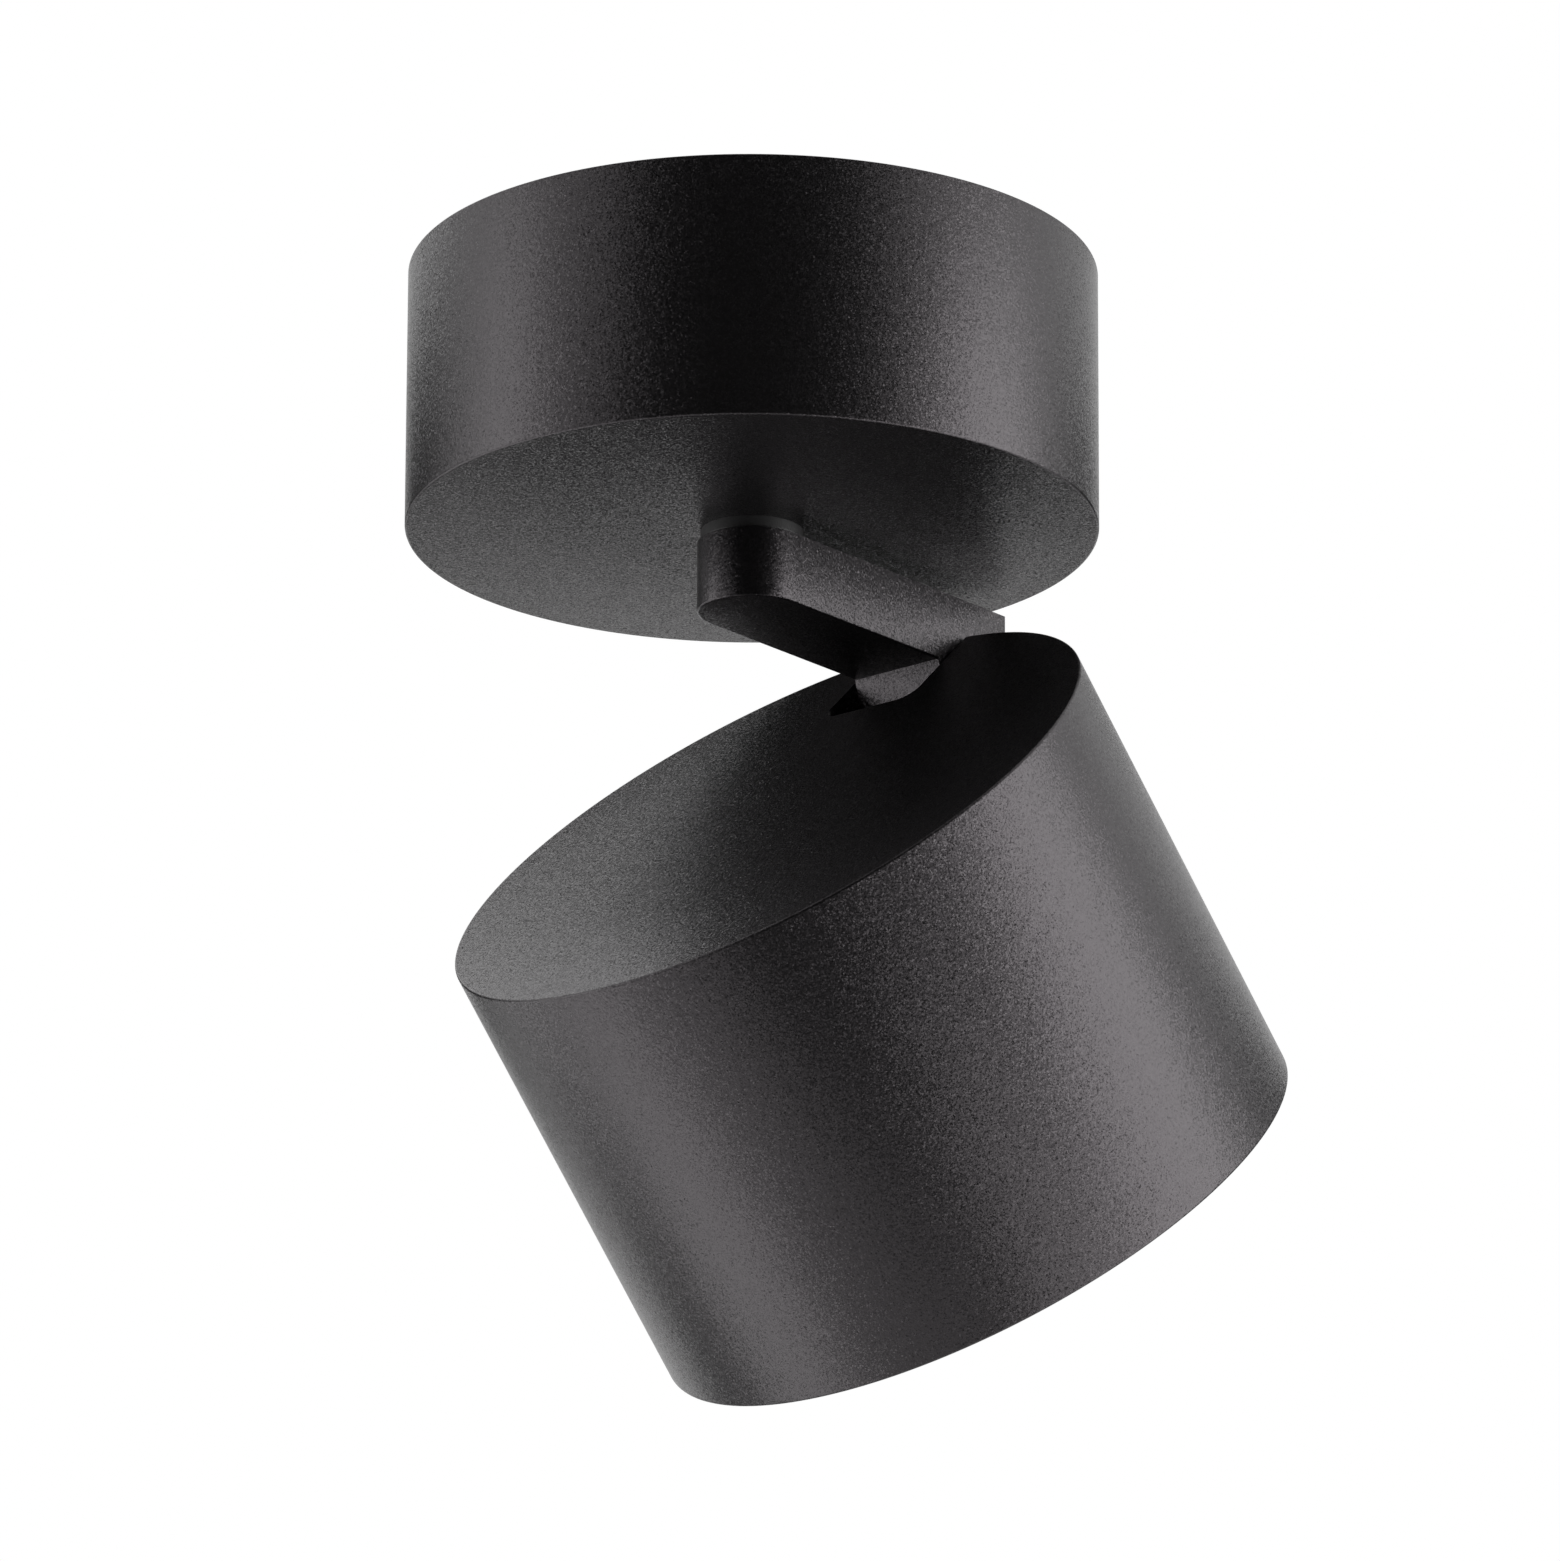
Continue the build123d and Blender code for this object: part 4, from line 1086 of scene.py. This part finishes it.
    def glass(self) -> bpy.types.Object:
        """Turns the glass with its ground edges.

        Returns:
            The glass.
        """
        outline = rounded(
            [
                (self.optic_radius / 2, self.glass_high, 0.0),
                (self.optic_radius, self.glass_high, self.glass_edge),
                (self.optic_radius, self.glass_low, self.glass_edge),
                (self.optic_radius / 2, self.glass_low, 0.0),
            ],
            False,
        )
        piece = Bench.lathe("front_pane", outline, False)
        return self.set_in(piece, Slot.CLEAR_GLASS, "front_glass")

    def bowl(self, drop: float) -> list[Point]:
        """Points on the arc through the reflector's foot, waist and mouth.

        Args:
            drop: How far below the back of the shell the arc lies.

        Returns:
            Points from the foot to the mouth.
        """
        foot = Vector((self.reflector_foot, self.reflector_top - drop))
        waist = Vector((self.reflector_waist[0], self.reflector_waist[1] - drop))
        mouth = Vector((self.ring_opening, self.reflector_front + self.reflector_shell - drop))
        a, b = waist - foot, mouth - foot
        cross = 2 * (a.x * b.y - a.y * b.x)
        across = (b.y * a.length_squared - a.y * b.length_squared) / cross
        along = (a.x * b.length_squared - b.x * a.length_squared) / cross
        return arc(foot + Vector((across, along)), foot, mouth, self.reflector_steps)

    def reflector(self) -> bpy.types.Object:
        """Turns the reflector's bowl and flange.

        Returns:
            The reflector.
        """
        back = self.bowl(0.0)
        face = self.bowl(self.reflector_shell)
        flange = [
            (self.optic_radius, self.reflector_front + self.reflector_shell),
            (self.optic_radius, self.reflector_front),
        ]
        piece = Bench.lathe("reflector_bowl", back + flange + face[::-1], True)
        return self.set_in(piece, Slot.MIRROR_ALUMINIUM, "reflector")


@dataclass
class PhotoCamera:
    """Camera at the photograph's viewpoint."""

    eye: Place = (-1.2100, -1.0233, -0.5930)
    heading: float = math.radians(49.93)
    pitch: float = 0.315
    roll: float = 0.0039
    focal_pixels: float = 11655.9
    frame_pixels: float = 1561.0
    sensor: float = 36.0
    nearest: float = 0.05
    farthest: float = 50.0

    def build(self) -> None:
        """Makes the scene's camera."""
        data = bpy.data.cameras.new("camera")
        data.sensor_width = self.sensor
        data.lens = self.focal_pixels * self.sensor / self.frame_pixels
        data.clip_start, data.clip_end = self.nearest, self.farthest
        camera = bpy.data.objects.new("camera", data)
        bpy.context.scene.collection.objects.link(camera)
        turn = (
            Matrix.Rotation(-self.heading, 4, "Z")
            @ Matrix.Rotation(math.pi / 2 + self.pitch, 4, "X")
            @ Matrix.Rotation(self.roll, 4, "Z")
        )
        camera.matrix_world = Matrix.Translation(self.eye) @ turn
        bpy.context.scene.camera = camera


@dataclass(frozen=True)
class Fitting:
    """Flat piece of the studio, which faces the object.

    Its bearing goes from the camera's side to the right, and its rise up from level, both in degrees.
    Its size and its reach, the distance from the object, are in metres.
    """

    name: str
    bearing: float
    rise: float
    width: float
    height: float
    reach: float = field(default=1.3, kw_only=True)

    def stand(self, heading: float, target: Vector) -> Matrix:
        """Works out where it stands, with its back turned away from the target.

        Args:
            heading: Heading of the camera.
            target: Point that it faces.

        Returns:
            Its place and turn.
        """
        bearing, rise = math.radians(self.bearing), math.radians(self.rise)
        front = Vector((-math.sin(heading), -math.cos(heading), 0))
        right = Vector((math.cos(heading), -math.sin(heading), 0))
        level = front * math.cos(bearing) + right * math.sin(bearing)
        outward = level * math.cos(rise) + Vector((0, 0, math.sin(rise)))
        turn = (-outward).to_track_quat("-Z", "Y").to_matrix().to_4x4()
        return Matrix.Translation(target + outward * self.reach) @ turn


@dataclass(frozen=True)
class Softbox(Fitting):
    """Soft lamp, which the gloss mirrors or, for a fill, does not."""

    radiance: float
    mirrored: bool = field(default=True, kw_only=True)

    def build(self, heading: float, target: Vector) -> None:
        """Makes the lamp and points it.

        Args:
            heading: Heading of the camera.
            target: Point that it faces.
        """
        data = bpy.data.lights.new(self.name, "AREA")
        data.shape = "RECTANGLE"
        data.size, data.size_y = self.width, self.height
        data.energy = LAMP_WATTS * self.radiance * self.width * self.height
        lamp = bpy.data.objects.new(self.name, data)
        bpy.context.scene.collection.objects.link(lamp)
        lamp.visible_glossy = self.mirrored
        lamp.matrix_world = self.stand(heading, target)


@dataclass(frozen=True)
class Screen(Fitting):
    """Black cloth screen, which the gloss mirrors as a dark side of the studio."""

    def build(self, heading: float, target: Vector) -> None:
        """Hangs the screen, out of the camera's sight.

        Args:
            heading: Heading of the camera.
            target: Point that it faces.
        """
        Bench.clear()
        bpy.ops.mesh.primitive_plane_add(size=1.0)
        screen = bpy.context.object
        screen.name = self.name.replace(" ", "_")
        size = Matrix.Diagonal((self.width, self.height, 1.0, 1.0))
        screen.matrix_world = self.stand(heading, target) @ size
        screen.data.materials.append(BLACK_CLOTH.material())
        screen.visible_camera = False
        screen.visible_shadow = False
        Bench.clear()


@dataclass
class Studio:
    """Pale floor, white surround, soft lamps and black screens."""

    target: Place = (0.0, 0.0, -0.08)
    floor_drop: float = 2.4
    floor_size: float = 18.0
    floor_white: float = 0.8
    ambient: float = 0.3
    screens: tuple[Screen, ...] = (
        Screen("front screen", 0.0, 0.0, 2.6, 4.4),
        Screen("back screen", 174.0, 45.0, 1.05, 0.8),
        Screen("right card", 138.0, 1.0, 0.9, 0.9),
        Screen("left card", -138.0, 10.0, 0.95, 0.6),
        Screen("low card", -163.0, -25.0, 1.4, 0.42),
    )
    lamps: tuple[Softbox, ...] = (
        Softbox("right softbox", 82.0, -4.0, 0.85, 1.4, 2.95),
        Softbox("low right softbox", 66.0, -44.0, 1.2, 0.7, 1.5),
        Softbox("left softbox", -86.0, 0.0, 0.5, 1.4, 1.75),
        Softbox("left rim softbox", -120.0, -16.0, 0.25, 0.35, 2.4),
        Softbox("low left softbox", -108.0, -48.0, 0.7, 0.7, 1.6),
        Softbox("low front softbox", -52.0, -48.0, 0.7, 0.7, 0.38),
        Softbox("high left softbox", -140.0, 45.0, 0.5, 0.7, 0.6),
        Softbox("top fill", 0.0, 90.0, 1.0, 1.0, 2.0, mirrored=False),
    )

    def build(self, heading: float) -> None:
        """Makes floor, surround, screens and lamps.

        Args:
            heading: Heading of the camera.
        """
        scene = bpy.context.scene
        scene.view_settings.view_transform = "Standard"
        self.surround(scene)
        self.floor()
        for fitting in (*self.screens, *self.lamps):
            fitting.build(heading, Vector(self.target))

    def surround(self, scene: bpy.types.Scene) -> None:
        """Makes the world: white where it is seen or mirrored, a dim fill for all else.

        Args:
            scene: Scene that it surrounds.
        """
        world = bpy.data.worlds.new("surround")
        scene.world = world
        world.use_nodes = True
        tree = world.node_tree
        background = tree.nodes["Background"]
        background.inputs["Color"].default_value = (1.0, 1.0, 1.0, 1.0)
        tree.links.new(self.seen_or_mirrored(tree, self.ambient, 1.0), background.inputs["Strength"])

    @staticmethod
    def seen_or_mirrored(tree: bpy.types.NodeTree, other: float, seen: float) -> bpy.types.NodeSocket:
        """Adds a value that differs for rays from the camera, a gloss or a glass.

        Args:
            tree: Node tree of the world or a material.
            other: Value for all other rays.
            seen: Value for these rays.

        Returns:
            The value's socket.
        """
        path = tree.nodes.new("ShaderNodeLightPath")
        factor = path.outputs["Is Camera Ray"]
        for name in ("Is Glossy Ray", "Is Transmission Ray"):
            larger = tree.nodes.new("ShaderNodeMath")
            larger.operation = "MAXIMUM"
            tree.links.new(factor, larger.inputs[0])
            tree.links.new(path.outputs[name], larger.inputs[1])
            factor = larger.outputs[0]
        span = tree.nodes.new("ShaderNodeMapRange")
        span.inputs["To Min"].default_value = other
        span.inputs["To Max"].default_value = seen
        tree.links.new(factor, span.inputs["Value"])
        return span.outputs["Result"]

    def floor(self) -> None:
        """Makes the plain pale floor, a room's height below the ceiling."""
        Bench.clear()
        bpy.ops.mesh.primitive_plane_add(size=self.floor_size, location=(0, 0, -self.floor_drop))
        floor = bpy.context.object
        floor.name = "floor"
        material = PALE_FLOOR.material()
        tree = material.node_tree
        glow = tree.nodes.new("ShaderNodeEmission")
        blend = tree.nodes.new("ShaderNodeMixShader")
        tree.links.new(self.seen_or_mirrored(tree, 0.0, self.floor_white), blend.inputs["Fac"])
        tree.links.new(tree.nodes["Principled BSDF"].outputs["BSDF"], blend.inputs[1])
        tree.links.new(glow.outputs["Emission"], blend.inputs[2])
        tree.links.new(blend.outputs["Shader"], tree.nodes["Material Output"].inputs["Surface"])
        floor.data.materials.append(material)
        Bench.clear()


def dress_nodes(frame: dict) -> list[str]:
    """Gives every CAD node that still shows the finish of its slot.


    Returns:
        The names of these nodes.
    """
    slots = {entry["node"]: Slot(entry["material_slot"]) for entry in frame["record"]["subparts"]}
    shown = [name for name, node in frame["nodes"].items() if not node.hide_render]
    for name in shown:
        materials = frame["nodes"][name].data.materials
        materials.clear()
        materials.append(FINISHES[slots[name]].material())
    return shown


def main() -> None:
    """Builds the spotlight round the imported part, then its camera and studio, and reports each piece."""
    logging.basicConfig(level=logging.INFO, format="%(name)s: %(message)s")
    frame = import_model()
    for assembly in (Canopy(), Arm(), Head()):
        for piece in assembly.build():
            LOG.info("%s is modelled anew, with %d faces", piece.name, len(piece.data.polygons))
    for name in dress_nodes(frame):
        LOG.info("%s keeps its CAD shape", name)
    camera = PhotoCamera()
    camera.build()
    Studio().build(camera.heading)


if __name__ == "__main__":
    main()
